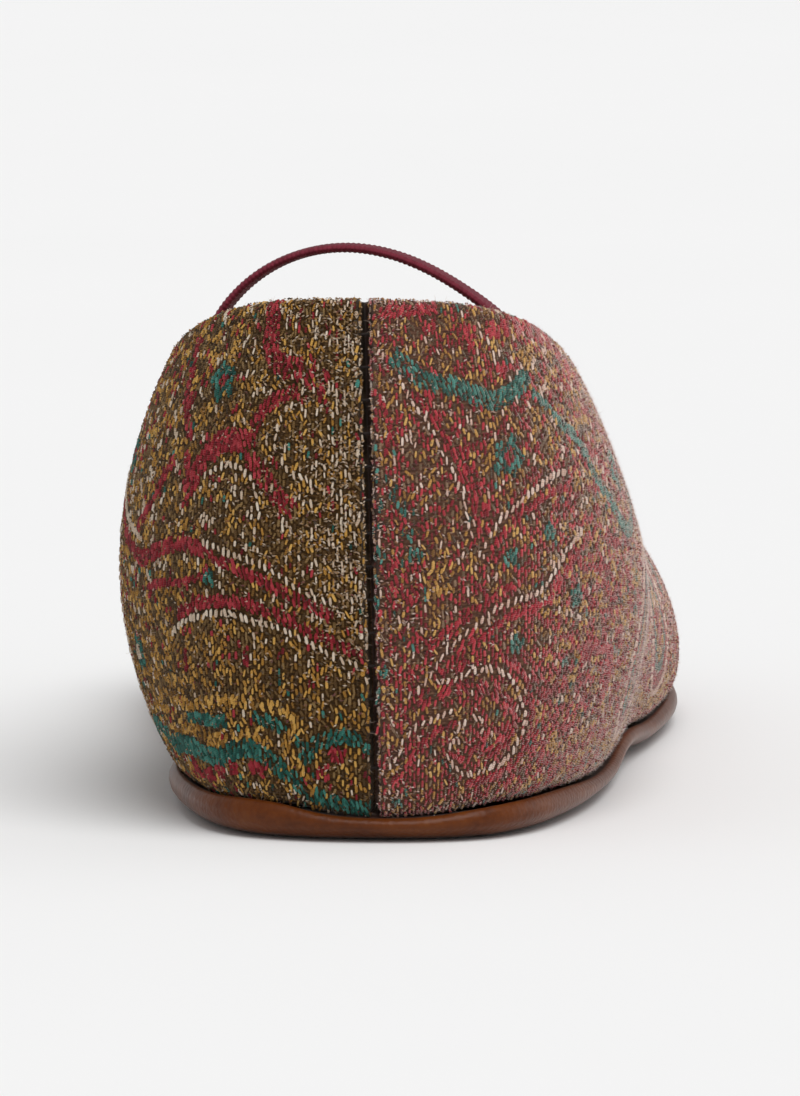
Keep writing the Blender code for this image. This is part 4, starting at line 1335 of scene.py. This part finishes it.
# Colours, from dark to light
SOLE_SHADES = (0.080, 0.018, 0.002), (0.114, 0.027, 0.003), (0.150, 0.041, 0.005)
SOCK_SHADES = (0.33, 0.20, 0.11), (0.42, 0.27, 0.155), (0.50, 0.34, 0.21)
# The nap's pale colour is part of a painted haze of light
FUZZ_COLOUR, NAP_HAZE_COLOUR, THREAD_COLOUR = (0.50, 0.38, 0.30), (0.78, 0.63, 0.58), (0.014, 0.008, 0.006)
# Shades of the ground: the lateral ones lighter, painted light, and the medial ones darker, painted shade
GROUND_SHADES = {
    "lateral": [(0.3, (0.026, 0.012, 0.008)), (0.5, (0.092, 0.044, 0.028)), (0.66, (0.17, 0.085, 0.05)),
                (0.8, (0.32, 0.19, 0.13))],
    "medial": [(0.3, (0.010, 0.005, 0.001)), (0.5, (0.040, 0.019, 0.004)), (0.66, (0.11, 0.056, 0.015)),
               (0.8, (0.27, 0.17, 0.09))],
}
FLECK_SHADES = {
    "lateral": [(0.0, (0.05, 0.022, 0.012)), (0.2, (0.15, 0.02, 0.025)), (0.45, (0.34, 0.03, 0.045)),
                (0.62, (0.36, 0.18, 0.04)), (0.8, (0.42, 0.25, 0.19)), (1.0, (0.74, 0.61, 0.54))],
    "medial": [(0.0, (0.04, 0.024, 0.012)), (0.25, (0.11, 0.065, 0.024)), (0.4, (0.16, 0.03, 0.03)),
               (0.6, (0.33, 0.17, 0.04)), (0.8, (0.38, 0.26, 0.16)), (1.0, (0.70, 0.59, 0.47))],
}
# Each yarn has a lit lateral copy, lighter and pinker, and a shaded medial copy, darker: painted light and
# shade
Yarn = namedtuple("Yarn", "dark middle light")
YARNS = {
    ("gold", "lateral"): Yarn((0.13, 0.056, 0.014), (0.51, 0.240, 0.042), (0.82, 0.50, 0.15)),
    ("crimson", "lateral"): Yarn((0.11, 0.004, 0.009), (0.39, 0.012, 0.027), (0.66, 0.062, 0.082)),
    ("teal", "lateral"): Yarn((0.006, 0.032, 0.027), (0.020, 0.13, 0.10), (0.11, 0.35, 0.29)),
    ("cream", "lateral"): Yarn((0.38, 0.19, 0.13), (0.72, 0.47, 0.37), (0.94, 0.77, 0.66)),
    ("umber", "lateral"): Yarn((0.04, 0.023, 0.012), (0.15, 0.088, 0.043), (0.33, 0.20, 0.12)),
    ("gold", "medial"): Yarn((0.12, 0.054, 0.010), (0.49, 0.230, 0.032), (0.82, 0.50, 0.13)),
    ("crimson", "medial"): Yarn((0.07, 0.003, 0.006), (0.30, 0.012, 0.022), (0.56, 0.060, 0.075)),
    ("teal", "medial"): Yarn((0.004, 0.028, 0.024), (0.014, 0.125, 0.094), (0.09, 0.33, 0.27)),
    ("cream", "medial"): Yarn((0.32, 0.20, 0.12), (0.66, 0.50, 0.36), (0.89, 0.78, 0.64)),
    ("umber", "medial"): Yarn((0.034, 0.016, 0.004), (0.138, 0.071, 0.019), (0.32, 0.20, 0.075)),
}


def fleck_finish(side):
    """Ends of weft in many colours, dark to pale."""
    finish = Finish("weft_flecks_" + side, 0.8, sheen=0.15, specular=0.25)
    finish.colour(finish.ramp(finish.shade(), FLECK_SHADES[side]))
    return finish.material


def yarn_finish(name, side):
    """Twisted yarn: each float has its own shade, with fine plies and the sheen of its side. The lateral copy
    is lighter with strong sheen, painted light, and the medial copy is darker with weak sheen, painted shade.
    """
    yarn = YARNS[name, side]
    finish = Finish("yarn_" + name + "_" + side, 0.75, sheen=YARN_SHEEN_LIT_AND_SHADED[side], specular=0.25)
    finish.shader.inputs["Sheen Tint"].default_value = (*NAP_TINT, 1.0)
    ply = finish.wave(2.3, 1.2, PLY_TURN)
    mottled = finish.noise(finish.place(), 3.2, 2.0)
    value = finish.weighted((finish.shade(), 0.52), (mottled, 0.28), (ply, 0.20))
    finish.colour(finish.ramp(value, [(0.18, yarn.dark), (0.5, yarn.middle), (0.82, yarn.light)]))
    finish.bump(ply, 0.07)
    return finish.material


def ground_finish():
    """The ground cloth under the floats: fine dark weave with lighter flecks, redder on the lateral side. Its
    lateral shades are also lighter, painted light, and its medial shades darker, painted shade.
    """
    finish = Finish("cloth_ground", 0.9, sheen=0.08, sheen_roughness=0.5, specular=0.12)
    flecks = finish.noise(finish.place(uv=True, scale=(2.2, 5.5, 1.0)), 1.0, 3.0, 0.7)
    medial, lateral = (finish.ramp(flecks, GROUND_SHADES[side]) for side in ("medial", "lateral"))
    finish.colour(finish.mix(finish.shade(), medial, lateral))
    finish.bump(finish.wave(0.82, 1.5, direction="Y"), 0.08)
    return finish.material


def lining_finish():
    """Plain cotton twill."""
    finish = Finish("lining_cotton", 0.88, sheen=0.25, sheen_roughness=0.5, specular=0.2)
    cloudy = finish.noise(finish.place(), 0.12)
    finish.colour(finish.ramp(cloudy, [(0.3, (0.50, 0.40, 0.28)), (0.7, (0.62, 0.52, 0.39))]))
    finish.bump(finish.wave(0.7, 0.8, TWILL_TURN), 0.05)
    return finish.material


def leather_finish(name, shades, roughness, grain=1.0):
    """Fine-grained leather with cloudy colour."""
    finish = Finish(name, roughness, sheen=0.08, sheen_roughness=0.3, specular=0.2)
    place = finish.place()
    cloudy = finish.weighted((finish.noise(place, 0.22, 4.0), 0.65), (finish.noise(place, 2.2), 0.35))
    finish.colour(finish.ramp(cloudy, zip((0.34, 0.5, 0.68), shades)))
    cells = finish.add("ShaderNodeTexVoronoi", Vector=place, Scale=1.9 / grain)
    pores = finish.weighted((cells.outputs["Distance"], 1.0), (finish.noise(place, 4.5), 0.6))
    finish.bump(pores, 0.05 * grain, 0.7)
    return finish.material


def elastic_finish():
    """Burgundy elastic: covered threads along it, drawn together by fine wefts across."""
    finish = Finish("strap_elastic", 0.7, sheen=0.06, sheen_roughness=0.4, specular=0.18)
    cloudy = finish.noise(finish.place(), 1.4)
    finish.colour(finish.ramp(cloudy, [(0.3, (0.115, 0.010, 0.020)), (0.7, (0.19, 0.019, 0.037))]))
    finish.bump(finish.wave(0.8, 0.6), 0.06)
    return finish.material


def plain_finish(name, colour, roughness, sheen=0.0, variation=0.25, scale=1.2):
    """A plain stuff whose colour is a little uneven."""
    finish = Finish(name, roughness, sheen=sheen)
    dark = tuple(c * (1 - variation) for c in colour)
    light = tuple(min(1.0, c * (1 + variation)) for c in colour)
    finish.colour(finish.ramp(finish.noise(finish.place(), scale), [(0.3, dark), (0.7, light)]))
    return finish.material


class Shop:
    """Puts pieces into the part's frame."""

    def __init__(self, last):
        self.origin = last.outer(np.linspace(0, 1, OUTER_ROWS)).reshape(-1, 3).min(axis=0)
        self.corner = np.array(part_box("upper")[0])

    def piece(self, name, slot, points, faces, materials, texture=None, shade=None, normals=None,
              first_faces=None):
        """A joined mesh. first_faces is how many faces, from the first one, have the first material."""
        mesh = bpy.data.meshes.new(name)
        corners = np.concatenate([f.ravel() for f in faces]).astype(np.int32)
        sizes = np.concatenate([np.full(len(f), f.shape[1]) for f in faces])
        starts = np.concatenate([[0], np.cumsum(sizes)[:-1]]).astype(np.int32)
        placed = (points - self.origin) * MM + self.corner
        mesh.vertices.add(len(points))
        mesh.vertices.foreach_set("co", placed.astype(np.float32).ravel())
        mesh.loops.add(len(corners))
        mesh.loops.foreach_set("vertex_index", corners)
        mesh.polygons.add(len(sizes))
        mesh.polygons.foreach_set("loop_start", starts)
        mesh.update(calc_edges=True)
        mesh.shade_smooth()
        if texture is not None:
            layer = mesh.uv_layers.new(name="chart")
            layer.data.foreach_set("uv", texture[corners].astype(np.float32).ravel())
        if shade is not None:
            values = mesh.attributes.new("shade", "FLOAT", "POINT")
            values.data.foreach_set("value", shade.astype(np.float32))
        if normals is not None:
            mesh.normals_split_custom_set_from_vertices(normals)
        for material in materials:
            mesh.materials.append(material)
        if first_faces is not None:
            later = np.arange(len(sizes)) >= first_faces
            mesh.polygons.foreach_set("material_index", later.astype(np.int32))
        made = bpy.data.objects.new(name, mesh)
        bpy.context.scene.collection.objects.link(made)
        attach(made, "root")
        return made


# Where the camera stands and what it looks at, in millimetres in the part's frame
CAMERA_AT = (86.3, -1044.7, 148.5)
CAMERA_TO = (4.8, -55.0, 25.0)
CAMERA_LENS = 390.0
CAMERA_SENSOR = 36.0
FLOOR_HALF = 6000.0
FLOOR_COLOUR = (0.86, 0.86, 0.86)
SKY_COLOUR, SKY_STRENGTH = (1.0, 1.0, 1.0, 1.0), 0.48
# The lamps, each with the way its light goes. The second one only grazes the lateral side.
Lamp = namedtuple("Lamp", "name energy towards")
LAMPS = [Lamp("soft_lamp", 2.0, (-0.3, 0.45, -1.0)), Lamp("edge_lamp", 0.45, (-0.85, -0.45, -0.2))]
LAMP_SPREAD = math.radians(48.0)


def make_studio():
    """A pale floor under even light, with two soft lamps from the right, and the camera."""
    scene = bpy.context.scene
    mesh = bpy.data.meshes.new("floor")
    half = FLOOR_HALF * MM
    corners = [(-half, -half, 0.0), (half, -half, 0.0), (half, half, 0.0), (-half, half, 0.0)]
    mesh.from_pydata(corners, [], [(0, 1, 2, 3)])
    floor = bpy.data.objects.new("floor", mesh)
    scene.collection.objects.link(floor)
    mesh.materials.append(plain_finish("studio_floor", FLOOR_COLOUR, 0.9, variation=0.004, scale=0.01))

    world = bpy.data.worlds.new("studio")
    world.use_nodes = True
    sky = world.node_tree.nodes["Background"]
    sky.inputs["Color"].default_value = SKY_COLOUR
    sky.inputs["Strength"].default_value = SKY_STRENGTH
    scene.world = world
    scene.view_settings.view_transform = "Standard"

    for row in LAMPS:
        lamp = bpy.data.lights.new(row.name, "SUN")
        lamp.energy = row.energy
        lamp.angle = LAMP_SPREAD
        holder = bpy.data.objects.new(row.name, lamp)
        holder.rotation_euler = Vector(row.towards).to_track_quat("-Z", "Y").to_euler()
        scene.collection.objects.link(holder)

    camera = bpy.data.cameras.new("camera")
    camera.lens = CAMERA_LENS
    camera.sensor_width = CAMERA_SENSOR
    viewer = bpy.data.objects.new("camera", camera)
    at, to = Vector(CAMERA_AT) * MM, Vector(CAMERA_TO) * MM
    viewer.matrix_world = Matrix.Translation(at) @ (to - at).to_track_quat("-Z", "Y").to_matrix().to_4x4()
    scene.collection.objects.link(viewer)
    scene.camera = viewer


def main():
    """All the pieces and the studio."""
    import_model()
    rng = np.random.default_rng(SEED)
    last = Last()
    wall = Wall(last)
    shop = Shop(last)

    points, faces, texture, share, cloth_faces = make_upper(last, wall)
    cloth = [ground_finish(), lining_finish()]
    upper = shop.piece("upper_cloth", "upper", points, faces, cloth, texture, share, first_faces=cloth_faces)
    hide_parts("upper")

    floats = Floats(last, wall, rng)
    weave = Weave(floats, rng)
    # Each yarn is made as a lit lateral copy and a shaded medial copy: painted light and shade
    for (name, side), (points, faces, texture, shade, normals) in float_meshes(weave, rng).items():
        finish = yarn_finish(name, side)
        shop.piece("yarn_" + name + "_" + side, "upper", points, faces, [finish], texture, shade, normals)

    for side, (points, faces, shade) in make_flecks(floats, rng).items():
        shop.piece("weft_flecks_" + side, "upper", points, faces, [fleck_finish(side)], shade=shade)
    points, faces = make_fuzz(floats, rng)
    shop.piece("cloth_fuzz", "upper", points, faces, [plain_finish("fuzz", FUZZ_COLOUR, 0.8, 0.4)])
    # Pale nap on the lateral side, standing in for a painted haze of light
    points, faces = make_nap_and_haze(floats, rng)
    shop.piece("cloth_nap_and_haze", "upper", points, faces, [plain_finish("nap", NAP_HAZE_COLOUR, 0.8, 0.4)])
    points, faces = make_seam_thread(last, wall)
    shop.piece("seam_thread", "upper", points, faces, [plain_finish("thread", THREAD_COLOUR, 0.8, 0.05)])

    points, faces, texture = make_strap(last)
    strap = shop.piece("strap_elastic", "strap", points, faces, [elastic_finish()], texture)
    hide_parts("strap")

    leather = leather_finish("sole_leather", SOLE_SHADES, 0.35)
    sole = shop.piece("sole_leather", "outsole", *make_sole(last), [leather])
    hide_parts("outsole")
    sock_leather = leather_finish("sock_leather", SOCK_SHADES, 0.62, 0.8)
    insole = shop.piece("insole_sock", "insole", *make_insole(last, wall), [sock_leather])
    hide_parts("insole")

    make_studio()


main()
